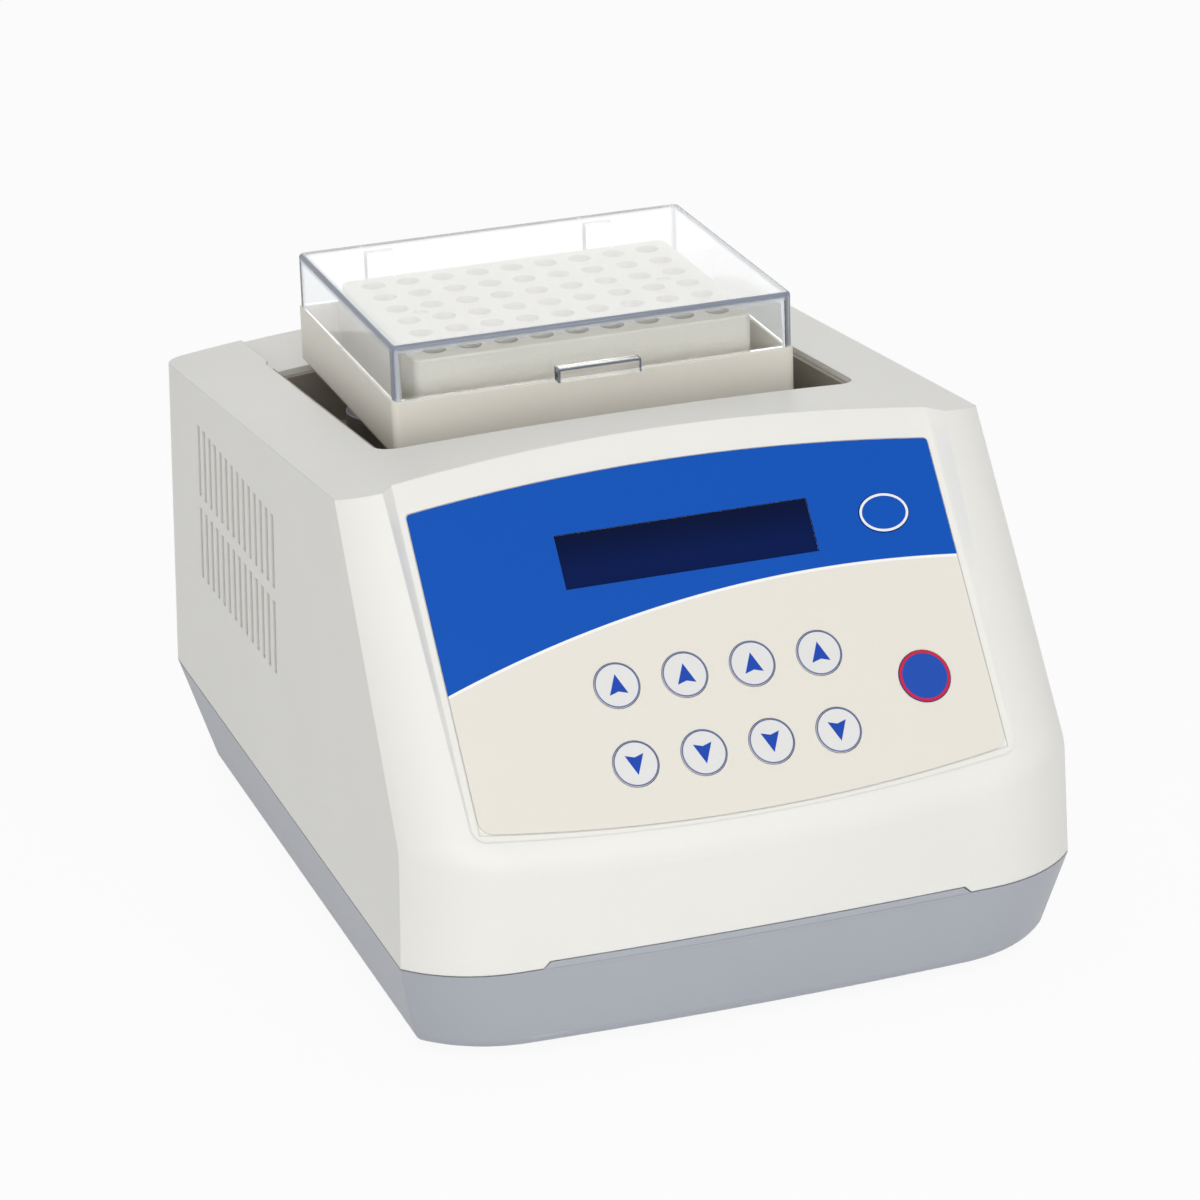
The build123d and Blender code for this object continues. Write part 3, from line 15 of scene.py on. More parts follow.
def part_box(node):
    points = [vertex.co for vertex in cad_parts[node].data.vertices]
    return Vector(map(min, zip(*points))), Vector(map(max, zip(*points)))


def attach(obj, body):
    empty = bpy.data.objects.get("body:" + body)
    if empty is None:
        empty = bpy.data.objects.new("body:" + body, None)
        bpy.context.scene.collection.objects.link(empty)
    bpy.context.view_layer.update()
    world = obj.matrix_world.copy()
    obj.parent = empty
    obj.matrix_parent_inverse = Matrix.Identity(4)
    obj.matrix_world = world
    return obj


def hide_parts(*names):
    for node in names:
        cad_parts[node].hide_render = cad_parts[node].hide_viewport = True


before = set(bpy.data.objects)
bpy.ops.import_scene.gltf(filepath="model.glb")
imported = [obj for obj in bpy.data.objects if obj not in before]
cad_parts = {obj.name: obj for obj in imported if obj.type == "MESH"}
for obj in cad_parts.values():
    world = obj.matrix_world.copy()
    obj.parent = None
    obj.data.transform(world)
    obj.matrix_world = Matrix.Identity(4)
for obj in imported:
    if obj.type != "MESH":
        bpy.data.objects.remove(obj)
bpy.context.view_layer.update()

LOG = logging.getLogger("thermal_mixer")
MM = 0.001
PLASTIC_IOR = 1.49
ACROSS = (1.0, 0.0, 0.0)
AHEAD = (0.0, -1.0, 0.0)
UPWARD = (0.0, 0.0, 1.0)
Colour = tuple[float, float, float]
Socket = bpy.types.NodeSocket


def srgb(red: int, green: int, blue: int) -> Colour:
    """Linear colour from 8-bit display values.

    Args:
        red, green, blue: display values from 0 to 255.

    Returns:
        The same colour in linear light.
    """
    values = np.array([red, green, blue], float) / 255.0
    linear = np.where(values <= 0.04045, values / 12.92, ((values + 0.055) / 1.055) ** 2.4)
    return tuple(float(v) for v in linear)


def toned(colour: Colour, share: float, lift: float = 0.0) -> Colour:
    """A colour made darker or lighter.

    Args:
        colour: the colour to start from.
        share: what each channel is multiplied by.
        lift: what is then added to each channel.

    Returns:
        The new colour, with no channel over 1.
    """
    return tuple(min(1.0, channel * share + lift) for channel in colour)


# ------------------------------------------------------------------ node graphs


class Graph:
    """Builds one material's nodes."""

    edge_softness = 0.4
    bevel_samples = 6

    def __init__(self, name: str) -> None:
        """Start an empty material.

        Args:
            name: the material's name.
        """
        self.material = bpy.data.materials.new(name)
        self.material.use_nodes = True
        self.tree = self.material.node_tree
        self.tree.nodes.clear()
        self.output = self.tree.nodes.new("ShaderNodeOutputMaterial")
        self.place = self.tree.nodes.new("ShaderNodeTexCoord").outputs["Object"]

    @classmethod
    def of(cls, material: bpy.types.Material) -> "Graph":
        """Work on a material that is already built.

        Args:
            material: the material.

        Returns:
            A graph over its nodes.
        """
        graph = cls.__new__(cls)
        graph.material = material
        graph.tree = material.node_tree
        nodes = graph.tree.nodes
        graph.output = next(n for n in nodes if n.type == "OUTPUT_MATERIAL")
        graph.place = next(n for n in nodes if n.type == "TEX_COORD").outputs["Object"]
        return graph

    def add(self, kind: str, **settings: object) -> bpy.types.Node:
        """A node of this kind with its properties set.

        Args:
            kind: the node's type name.
            settings: properties of the node.

        Returns:
            The new node.
        """
        node = self.tree.nodes.new(kind)
        for key, value in settings.items():
            setattr(node, key, value)
        return node

    def feed(self, socket: Socket, value: object) -> None:
        """Link a socket, or set its value.

        Args:
            socket: the input.
            value: an output socket, a number or a colour.
        """
        if isinstance(value, bpy.types.NodeSocket):
            self.tree.links.new(value, socket)
        elif isinstance(value, tuple) and len(value) == 3 and socket.type == "RGBA":
            socket.default_value = (*value, 1.0)
        else:
            socket.default_value = value

    def math(self, operation: str, *values: object, clamp: bool = False) -> Socket:
        """One arithmetic step.

        Args:
            operation: the Math node's operation.
            values: its inputs, sockets or numbers.
            clamp: keep the result between 0 and 1.

        Returns:
            The result.
        """
        node = self.add("ShaderNodeMath", operation=operation, use_clamp=clamp)
        for socket, value in zip(node.inputs, values):
            self.feed(socket, value)
        return node.outputs[0]

    def dot(self, vector: Socket, direction: tuple[float, float, float]) -> Socket:
        """The length of a vector along a fixed direction.

        Args:
            vector: a vector socket.
            direction: the direction.

        Returns:
            The dot product.
        """
        node = self.add("ShaderNodeVectorMath", operation="DOT_PRODUCT")
        self.feed(node.inputs[0], vector)
        node.inputs[1].default_value = direction
        return node.outputs["Value"]

    def step(self, value: Socket, edge: object, width: float) -> Socket:
        """0 below an edge and 1 above it, with a soft band.

        Args:
            value: what is compared.
            edge: where the middle of the band lies.
            width: how wide the band is.

        Returns:
            The blend, from 0 to 1.
        """
        offset = self.math("SUBTRACT", value, edge)
        scaled = self.math("DIVIDE", offset, width)
        return self.math("ADD", scaled, 0.5, clamp=True)

    def noise(self, scale: float, detail: float = 3.0, rough: float = 0.55,
              stretch: tuple[float, float, float] | None = None) -> Socket:
        """Noise on the piece's own coordinates.

        Args:
            scale: cells per metre.
            detail: octaves.
            rough: how strong the fine octaves are.
            stretch: scales each axis before the noise, for brushed metal.

        Returns:
            The noise, from 0 to 1.
        """
        node = self.add("ShaderNodeTexNoise")
        place = self.place
        if stretch is not None:
            mapping = self.add("ShaderNodeMapping")
            self.feed(mapping.inputs["Vector"], self.place)
            mapping.inputs["Scale"].default_value = stretch
            place = mapping.outputs[0]
        self.feed(node.inputs["Vector"], place)
        node.inputs["Scale"].default_value = scale
        node.inputs["Detail"].default_value = detail
        node.inputs["Roughness"].default_value = rough
        return node.outputs["Fac"]

    def spread(self, value: Socket, low: float, high: float, start: float = 0.3,
               end: float = 0.7) -> Socket:
        """Map a value's middle range to new limits.

        Args:
            value: the input.
            low, high: the new limits.
            start, end: the old limits.

        Returns:
            The mapped value.
        """
        node = self.add("ShaderNodeMapRange")
        self.feed(node.inputs["Value"], value)
        for key, number in zip(("From Min", "From Max", "To Min", "To Max"),
                               (start, end, low, high)):
            node.inputs[key].default_value = number
        return node.outputs["Result"]

    def blend(self, factor: object, first: object, second: object) -> Socket:
        """Mix two colours.

        Args:
            factor: 0 gives the first, 1 the second.
            first, second: colours or sockets.

        Returns:
            The mixed colour.
        """
        node = self.add("ShaderNodeMix", data_type="RGBA")
        self.feed(node.inputs[0], factor)
        self.feed(node.inputs[6], first)
        self.feed(node.inputs[7], second)
        return node.outputs[2]

    def mottle(self, pattern: Socket, share: float, first: object, second: object) -> Socket:
        """Mix a second colour into a first where a pattern is strong.

        Args:
            pattern: the pattern, from 0 to 1.
            share: how much of the second colour shows at the pattern's strongest.
            first, second: colours or sockets.

        Returns:
            The mixed colour.
        """
        return self.blend(self.spread(pattern, 0.0, share), first, second)

    def uneven(self, pattern: Socket, middle: float, reach: tuple[float, float]) -> Socket:
        """A roughness that follows a pattern.

        Args:
            pattern: the pattern, from 0 to 1.
            middle: the roughness.
            reach: how far it goes below and above.

        Returns:
            The roughness.
        """
        return self.spread(pattern, middle - reach[0], middle + reach[1])

    def near_edges(self, middle: tuple[float, float], half: tuple[float, float], top: float,
                   band: float) -> Socket:
        """1 along the upper and upright edges of a box, 0 elsewhere.

        A point lies near an edge where the second smallest of its ways in from the box's sides,
        ends and top is below the band.

        Args:
            middle, half: the box's centre and half sizes in x and y, in metres.
            top: height of its upper face.
            band: how far the edge's look reaches.

        Returns:
            The mask, from 0 to 1.
        """
        axes = self.add("ShaderNodeSeparateXYZ")
        self.feed(axes.inputs[0], self.place)
        ways = []
        for axis in range(2):
            offset = self.math("SUBTRACT", axes.outputs[axis], middle[axis])
            ways.append(self.math("SUBTRACT", half[axis], self.math("ABSOLUTE", offset)))
        down = self.math("SUBTRACT", top, axes.outputs[2])
        least = self.math("MINIMUM", *ways)
        most = self.math("MAXIMUM", *ways)
        second = self.math("MAXIMUM", least, self.math("MINIMUM", most, down))
        return self.math("SUBTRACT", 1.0, self.step(second, band, band * self.edge_softness))

    def bump(self, height: Socket, distance: float, strength: float = 1.0,
             round_edges: float = 0.0) -> Socket:
        """A surface normal from a height.

        Args:
            height: the height, from 0 to 1.
            distance: metres that a height of 1 stands for.
            strength: 0 to 1.
            round_edges: radius in metres by which sharp edges look rounded.

        Returns:
            The normal.
        """
        node = self.add("ShaderNodeBump")
        self.feed(node.inputs["Height"], height)
        node.inputs["Distance"].default_value = distance
        node.inputs["Strength"].default_value = strength
        if round_edges > 0.0:
            bevel = self.add("ShaderNodeBevel", samples=self.bevel_samples)
            bevel.inputs["Radius"].default_value = round_edges
            self.feed(node.inputs["Normal"], bevel.outputs[0])
        return node.outputs[0]

    def principled(self, colour: object, roughness: object, normal: Socket | None = None,
                   **constants: float) -> bpy.types.Node:
        """The surface shader, linked to the output.

        Args:
            colour: a colour or socket.
            roughness: a number or socket.
            normal: the normal, if any.
            constants: further inputs by name, with underscores for spaces.

        Returns:
            The shader node.
        """
        node = self.add("ShaderNodeBsdfPrincipled")
        self.feed(node.inputs["Base Color"], colour)
        self.feed(node.inputs["Roughness"], roughness)
        if normal is not None:
            self.feed(node.inputs["Normal"], normal)
        for key, value in constants.items():
            node.inputs[key.replace("_", " ")].default_value = value
        self.tree.links.new(node.outputs[0], self.output.inputs["Surface"])
        return node

    def mix_shaders(self, factor: Socket, first: bpy.types.Node,
                    second: bpy.types.Node) -> None:
        """Link a mix of two shaders to the output.

        Args:
            factor: 0 gives the first, 1 the second.
            first, second: the shader nodes.
        """
        mix = self.add("ShaderNodeMixShader")
        self.feed(mix.inputs[0], factor)
        self.feed(mix.inputs[1], first.outputs[0])
        self.feed(mix.inputs[2], second.outputs[0])
        self.tree.links.new(mix.outputs[0], self.output.inputs["Surface"])


# ------------------------------------------------------------------ finishes


@dataclass(frozen=True)
class MouldedPlastic:
    """Injection-moulded plastic: a fine spark-eroded grain and a slight drift of shade."""

    name: str
    colour: Colour
    roughness: float = 0.42
    grain: float = 0.03 * MM
    drift: float = 0.02
    edge: float = 0.6 * MM
    cells: float = 2600.0
    gloss: float = 0.5
    reach: tuple[float, float] = (0.04, 0.05)
    broad_cells: float = 14.0
    broad_share: float = 0.5
    fine_share: float = 0.35
    grain_strength: float = 0.6

    def material(self) -> bpy.types.Material:
        """Build the finish. Its darkest spots lose 2.5 times the drift.

        Returns:
            The material.
        """
        graph = Graph(self.name)
        fine = graph.noise(self.cells, 3.0)
        broad = graph.noise(self.broad_cells, 2.0)
        shade = graph.spread(broad, 0.0, self.broad_share)
        speckle = graph.spread(fine, 0.0, self.fine_share)
        colour = graph.blend(graph.math("ADD", shade, speckle), self.colour,
                             toned(self.colour, 1.0 - 2.5 * self.drift))
        rough = graph.uneven(fine, self.roughness, self.reach)
        normal = graph.bump(fine, self.grain, self.grain_strength, self.edge)
        graph.principled(colour, rough, normal, IOR=PLASTIC_IOR, Specular_IOR_Level=self.gloss)
        return graph.material


class Brush(Enum):
    """Direction of the fine lines on worked metal."""

    NONE = None
    ALONG_X = (0.02, 1.0, 1.0)
    ALONG_Y = (1.0, 0.02, 1.0)
    ALONG_Z = (1.0, 1.0, 0.02)


@dataclass(frozen=True)
class WorkedMetal:
    """Bare or plated metal with fine lines, or with a blasted grain where it has no direction."""

    name: str
    colour: Colour
    brush: Brush = Brush.NONE
    roughness: float = 0.32
    depth: float = 0.02 * MM
    metallic: float = 1.0
    cells: float = 1400.0
    reach: tuple[float, float] = (0.07, 0.09)
    darkest: float = 0.86
    line_share: float = 0.8
    broad_cells: float = 40.0
    broad_share: float = 0.35
    line_strength: float = 0.5
    edge: float = 0.3 * MM

    def material(self) -> bpy.types.Material:
        """Build the finish.

        Returns:
            The material.
        """
        graph = Graph(self.name)
        lines = graph.noise(self.cells, 4.0, 0.6, self.brush.value)
        broad = graph.noise(self.broad_cells, 2.0)
        darker = toned(self.colour, self.darkest)
        colour = graph.mottle(lines, self.line_share, self.colour, darker)
        colour = graph.mottle(broad, self.broad_share, colour, darker)
        rough = graph.uneven(lines, self.roughness, self.reach)
        normal = graph.bump(lines, self.depth, self.line_strength, self.edge)
        graph.principled(colour, rough, normal, Metallic=self.metallic)
        return graph.material


@dataclass(frozen=True)
class SoftSheet:
    """Rubber or foam: dull, with a coarse grain."""

    name: str
    colour: Colour
    roughness: float = 0.8
    grain: float = 0.1 * MM
    cells: float = 900.0
    reach: tuple[float, float] = (0.08, 0.08)
    dust_cells: float = 60.0
    dust_share: float = 0.6
    grain_strength: float = 0.5

    def material(self) -> bpy.types.Material:
        """Build the finish: the grain, under a lighter dust.

        Returns:
            The material.
        """
        graph = Graph(self.name)
        fine = graph.noise(self.cells, 4.0, 0.65)
        dust = graph.noise(self.dust_cells, 3.0)
        colour = graph.mottle(dust, self.dust_share, self.colour,
                              toned(self.colour, 1.25, 0.012))
        rough = graph.uneven(fine, self.roughness, self.reach)
        graph.principled(colour, rough, graph.bump(fine, self.grain, self.grain_strength))
        return graph.material


@dataclass(frozen=True)
class ClearPlastic:
    """Polished clear plastic. Lamps reach what stands behind it."""

    name: str
    tint: Colour = (0.97, 0.985, 1.0)
    roughness: float = 0.02
    reach: tuple[float, float] = (0.0, 0.015)
    smear_cells: float = 30.0
    shadow_tint: Colour = (0.94, 0.95, 0.96)

    def material(self) -> bpy.types.Material:
        """Build the finish: a glassy shader, and a plain see-through one for rays from lamps.

        Returns:
            The material.
        """
        graph = Graph(self.name)
        smear = graph.noise(self.smear_cells, 3.0)
        rough = graph.uneven(smear, self.roughness, self.reach)
        glass = graph.principled(self.tint, rough, Transmission_Weight=1.0, IOR=PLASTIC_IOR)
        clear = graph.add("ShaderNodeBsdfTransparent")
        graph.feed(clear.inputs[0], self.shadow_tint)
        path = graph.add("ShaderNodeLightPath")
        graph.mix_shaders(path.outputs["Is Shadow Ray"], glass, clear)
        return graph.material


@dataclass(frozen=True)
class MouldedClear(ClearPlastic):
    """Clear plastic moulded as a tray, with a grey-blue painted shade and a pale painted highlight
    along its edges and a painted glare on its top.
    """

    middle: tuple[float, float] = (0.0, 0.0)
    half: tuple[float, float] = (0.05, 0.05)
    top: float = 0.0
    # The thin grey-blue band is painted shade along the lid's edges; the wider pale band beside it
    # is a painted highlight.
    line: float = 1.3 * MM
    edge_shade_colour: Colour = srgb(146, 154, 172)
    edge_shade_clear: float = 0.3
    edge_highlight_band: float = 2.6 * MM
    edge_highlight_colour: Colour = srgb(218, 223, 232)
    edge_highlight_clear: float = 0.65
    # The tab's own thin dark band is painted shade along its edges.
    tab_half: tuple[float, float] = (14.0 * MM, 4.0 * MM)
    tab_top: float = 0.0
    tab_shade_band: float = 0.7 * MM
    tab_shade_colour: Colour = srgb(104, 112, 132)
    # The top's pale, less see-through skin is a painted glare, standing in for the bright
    # reflection on the lid's top.
    glare_clear: float = 0.72
    glare_colour: Colour = srgb(240, 240, 238)
    glare_depth: float = 0.3 * MM
    soft: float = 0.1 * MM

    def material(self) -> bpy.types.Material:
        """Build the finish: the clear one, less see-through where painted shade and a painted
        highlight run along its edges and where a painted glare lies on its top.

        Returns:
            The material.
        """
        material = super().material()
        graph = Graph.of(material)
        glass = next(n for n in material.node_tree.nodes if n.type == "BSDF_PRINCIPLED")
        # Painted glare: the top skin turns pale and less see-through.
        height = graph.dot(graph.place, UPWARD)
        upper = graph.step(height, self.top - self.glare_depth, self.soft)
        colour = graph.blend(upper, self.tint, self.glare_colour)
        clear = graph.spread(upper, 1.0, self.glare_clear, 0.0, 1.0)
        # A pale band of painted highlight, then a thin grey-blue line of painted shade, along the
        # upper and upright edges.
        for band, shade, share in ((self.edge_highlight_band, self.edge_highlight_colour, self.edge_highlight_clear),
                                   (self.line, self.edge_shade_colour, self.edge_shade_clear)):
            edge = graph.near_edges(self.middle, self.half, self.top, band)
            colour = graph.blend(edge, colour, shade)
            lost = graph.math("SUBTRACT", clear, share)
            clear = graph.math("SUBTRACT", clear, graph.math("MULTIPLY", lost, edge))
        # Painted shade along the tab's edges, in front of the lid's front wall.
        front = self.middle[1] - self.half[1]
        tab_edge_shade = graph.near_edges((self.middle[0], front), self.tab_half, self.tab_top,
                               self.tab_shade_band)
        ahead = graph.step(graph.dot(graph.place, AHEAD), self.soft - front, self.soft)
        tab_edge_shade = graph.math("MULTIPLY", tab_edge_shade, ahead)
        colour = graph.blend(tab_edge_shade, colour, self.tab_shade_colour)
        clear = graph.math("MULTIPLY", clear, graph.spread(tab_edge_shade, 1.0, self.edge_shade_clear, 0.0, 1.0))
        graph.feed(glass.inputs["Base Color"], colour)
        graph.feed(glass.inputs["Transmission Weight"], clear)
        return material


@dataclass(frozen=True)
class BoardLaminate:
    """Circuit board: a green coat over a faint grid of tracks."""

    name: str
    colour: Colour = (0.012, 0.11, 0.045)
    pitch: float = 2.54 * MM
    track_start: float = 0.34
    track_soft: float = 0.2 * MM
    track_height: float = 0.04 * MM
    break_cells: float = 90.0
    coat_cells: float = 500.0
    coat_rough: tuple[float, float] = (0.28, 0.4)

    def material(self) -> bpy.types.Material:
        """Build the finish: the tracks are narrow bands of a triangle wave along x.

        Returns:
            The material.
        """
        graph = Graph(self.name)
        across = graph.dot(graph.place, ACROSS)
        wave = graph.math("PINGPONG", across, self.pitch / 2)
        track = graph.step(wave, self.pitch * self.track_start, self.track_soft)
        broken = graph.step(graph.noise(self.break_cells, 1.0), 0.5, 0.02)
        mask = graph.math("MULTIPLY", track, broken)
        colour = graph.blend(mask, self.colour, toned(self.colour, 1.9, 0.01))
        rough = graph.spread(graph.noise(self.coat_cells), *self.coat_rough)
        graph.principled(colour, rough, graph.bump(mask, self.track_height, 0.6))
        return graph.material


@dataclass(frozen=True)
class PrintedInk:
    """Screen-printed ink: an even colour with a slight mottle."""

    name: str
    colour: Colour
    roughness: float = 0.35
    reach: tuple[float, float] = (0.03, 0.04)
    cells: float = 1800.0
    grain: float = 0.008 * MM
    gloss: float = 0.12

    def material(self) -> bpy.types.Material:
        """Build the finish.

        Returns:
            The material.
        """
        graph = Graph(self.name)
        fine = graph.noise(self.cells, 2.0)
        colour = graph.mottle(fine, 0.5, self.colour, toned(self.colour, 0.9))
        rough = graph.uneven(fine, self.roughness, self.reach)
        graph.principled(colour, rough, graph.bump(fine, self.grain, 0.4),
                         Specular_IOR_Level=self.gloss)
        return graph.material


@dataclass(frozen=True)
class DarkGlass:
    """The display's tinted front: deep blue, with a painted shadow of its recessed frame that
    darkens it towards its upper edge, and fine upright gaps."""

    name: str
    panel: "PanelFrame"
    middle: float
    half_height: float
    colour: Colour = srgb(2, 24, 78)
    shadow: Colour = srgb(2, 12, 42)
    shade_edge: float = 0.45
    shade_width: float = 1.6
    column: float = 2.4 * MM
    gap: float = 0.2 * MM
    gap_share: float = 0.25
    haze_cells: float = 60.0
    haze_rough: tuple[float, float] = (0.12, 0.2)
    gloss: float = 0.06

    def material(self) -> bpy.types.Material:
        """Build the finish: the painted shadow deepens with height on the panel, and thin upright
        gaps repeat across it.

        Returns:
            The material.
        """
        graph = Graph(self.name)
        up = self.panel.height_socket(graph)
        share = graph.math("DIVIDE", graph.math("SUBTRACT", up, self.middle), self.half_height)
        # Painted shadow of the recessed frame: the glass turns darker towards its upper edge.
        shade = graph.step(share, self.shade_edge, self.shade_width)
        column = graph.math("PINGPONG", graph.dot(graph.place, ACROSS), self.column)
        cell = graph.step(column, self.gap, self.gap)
        base = graph.blend(shade, self.colour, self.shadow)
        gap = graph.math("MULTIPLY", graph.math("SUBTRACT", 1.0, cell), self.gap_share)
        colour = graph.blend(gap, base, toned(self.colour, 0.9))
        haze = graph.noise(self.haze_cells, 2.0)
        graph.principled(colour, graph.spread(haze, *self.haze_rough),
                         Specular_IOR_Level=self.gloss)
        return graph.material


@dataclass(frozen=True)
class PanelPrint:
    """The overlay film: blue above a long curve, cream below it, a white line between them."""

    name: str
    panel: "PanelFrame"
    blue: Colour = srgb(12, 84, 184)
    cream: Colour = srgb(233, 229, 219)
    white: Colour = srgb(246, 246, 244)
    low_point: float = 43.0 * MM
    low_drop: float = 36.4 * MM
    bend: float = 1.324
    line: float = 0.9 * MM
    soft: float = 0.08 * MM
    weave_cells: float = 2400.0
    weave_share: float = 0.5
    weave_depth: float = 0.01 * MM
    weave_rough: tuple[float, float] = (0.3, 0.38)
    edge: float = 0.2 * MM
    gloss: float = 0.1

    def material(self) -> bpy.types.Material:
        """Build the finish.

        The curve's drop is low_drop plus bend times the square of the way from low_point, in
        metres down the slope.

        Returns:
            The material.
        """
        graph = Graph(self.name)
        across = graph.dot(graph.place, ACROSS)
        drop = graph.math("MULTIPLY", self.panel.height_socket(graph), -1.0)
        away = graph.math("SUBTRACT", across, self.low_point)
        square = graph.math("MULTIPLY", away, away)
        curve = graph.math("MULTIPLY_ADD", square, self.bend, self.low_drop)
        under_blue = graph.step(drop, curve, self.soft)
        under_line = graph.step(drop, graph.math("ADD", curve, self.line), self.soft)
        weave = graph.noise(self.weave_cells, 2.0)
        pale = graph.mottle(weave, self.weave_share, self.cream, toned(self.cream, 0.96))
        deep = graph.mottle(weave, self.weave_share, self.blue, toned(self.blue, 0.9))
        colour = graph.blend(under_blue, deep, self.white)
        colour = graph.blend(under_line, colour, pale)
        normal = graph.bump(weave, self.weave_depth, 0.4, self.edge)
        graph.principled(colour, graph.spread(weave, *self.weave_rough), normal,
                         Specular_IOR_Level=self.gloss)
        return graph.material


# ------------------------------------------------------------------ shapes


@dataclass(frozen=True)
class PanelFrame:
    """The sloping panel: its upper edge's middle, and its slope from level."""

    origin: tuple[float, float, float] = (0.0, -73.6 * MM, 157.8 * MM)
    slope: float = 51.5

    @property
    def up(self) -> np.ndarray:
        """Direction up the slope.

        Returns:
            A unit vector.
        """
        return np.array([0.0, cos(radians(self.slope)), sin(radians(self.slope))])

    @property
    def out(self) -> np.ndarray:
        """Outward normal of the panel.

        Returns:
            A unit vector.
        """
        return np.array([0.0, -sin(radians(self.slope)), cos(radians(self.slope))])

    def points(self, across: np.ndarray, up: np.ndarray, out: np.ndarray) -> np.ndarray:
        """Points of the panel's frame in the row frame.

        Args:
            across, up, out: arrays of one shape, in metres.

        Returns:
            An array with one more axis, of x, y and z.
        """
        return (np.array(self.origin) + across[..., None] * np.array(ACROSS)
                + up[..., None] * self.up + out[..., None] * self.out)

    def height_socket(self, graph: Graph) -> Socket:
        """The height up the slope as a node socket.

        Args:
            graph: the material's graph.

        Returns:
            The height above the panel's origin, in metres.
        """
        level = float(np.dot(np.array(self.origin), self.up))
        along = graph.dot(graph.place, tuple(float(v) for v in self.up))
        return graph.math("SUBTRACT", along, level)


def link(name: str, data: bpy.types.ID) -> bpy.types.Object:
    """An object in the scene.

    Args:
        name: the new object's name.
        data: its mesh, lamp or camera.

    Returns:
        The new object.
    """
    item = bpy.data.objects.new(name, data)
    bpy.context.scene.collection.objects.link(item)
    return item


def shell(name: str, points: np.ndarray, faces: list[list[int]]) -> bpy.types.Object:
    """A mesh object in the scene.

    Args:
        name: the new object's name.
        points: an array of x, y and z.
        faces: the corners of each face, anticlockwise from outside.

    Returns:
        The new object.
    """
    mesh = bpy.data.meshes.new(name)
    mesh.from_pydata(points.tolist(), [], faces)
    mesh.update()
    return link(name, mesh)


def loft(name: str, rows: np.ndarray) -> bpy.types.Object:
    """A closed shell from rings of points.

    Row i of the array is one closed ring. Neighbouring rings are joined by quads, and the first
    and last rings are closed by a fan to their mean point.

    Args:
        name: the new object's name.
        rows: an array of rings, by points, by x, y and z.

    Returns:
        The new object, linked to the scene.
    """
    rings, count, _ = rows.shape
    index = np.arange(rings * count).reshape(rings, count)
    ahead = np.roll(index, -1, axis=1)
    quads = np.stack([index[:-1], ahead[:-1], ahead[1:], index[1:]], axis=-1).reshape(-1, 4)
    first, last = rings * count, rings * count + 1
    caps = np.concatenate([
        np.stack([np.full(count, first), ahead[0], index[0]], axis=-1),
        np.stack([np.full(count, last), index[-1], ahead[-1]], axis=-1)])
    points = np.concatenate([rows.reshape(-1, 3), rows[0].mean(0)[None], rows[-1].mean(0)[None]])
    return shell(name, points, quads.tolist() + caps.tolist())


def ring(name: str, rows: np.ndarray) -> bpy.types.Object:
    """A closed tube round a hole: like loft, but the last ring joins the first.

    Args:
        name: the new object's name.
        rows: an array of rings, by points, by x, y and z.

    Returns:
        The new object, linked to the scene.
    """
    rings, count, _ = rows.shape
    index = np.arange(rings * count).reshape(rings, count)
    ahead = np.roll(index, -1, axis=1)
    after = np.roll(index, -1, axis=0)
    corner = np.roll(ahead, -1, axis=0)
    quads = np.stack([index, ahead, corner, after], axis=-1).reshape(-1, 4)
    return shell(name, rows.reshape(-1, 3), quads.tolist())


def dress(material: bpy.types.Material, *nodes: str) -> None:
    """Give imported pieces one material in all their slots.

    Args:
        material: the finish.
        nodes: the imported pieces' names.
    """
    for node in nodes:
        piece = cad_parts[node]
        if not piece.material_slots:
            piece.data.materials.append(material)
        for slot in piece.material_slots:
            slot.material = material
        LOG.info("%s: %s", node, material.name)


# ------------------------------------------------------------------ sub-assemblies


@dataclass
class Housing:
    """The two-part case with its liner, feet and screws."""

    cover: MouldedPlastic = MouldedPlastic("cover_plastic", srgb(236, 235, 230), 0.38)
    base: MouldedPlastic = MouldedPlastic("base_plastic", srgb(172, 176, 184), 0.42)
    # The liner's mid warm grey, darker than the cover, is painted shade for the recess.
    liner: MouldedPlastic = MouldedPlastic("liner_plastic", srgb(154, 147, 136), 0.6)
    feet: SoftSheet = SoftSheet("foot_rubber", srgb(38, 38, 40))
    screws: WorkedMetal = WorkedMetal("zinc_screws", srgb(190, 190, 186), Brush.ALONG_Z)

    def build(self) -> None:
        """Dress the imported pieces."""
        dress(self.cover.material(), "top_cover")
        dress(self.base.material(), "base_pan")
        dress(self.liner.material(), "recess_liner")
        dress(self.feet.material(), "rubber_feet")
        dress(self.screws.material(), "case_screws", "base_screws", "board_screws",
              "chassis_screws", "motor_screws", "fan_screws", "supply_screws", "tray_screws",
              "block_screws")


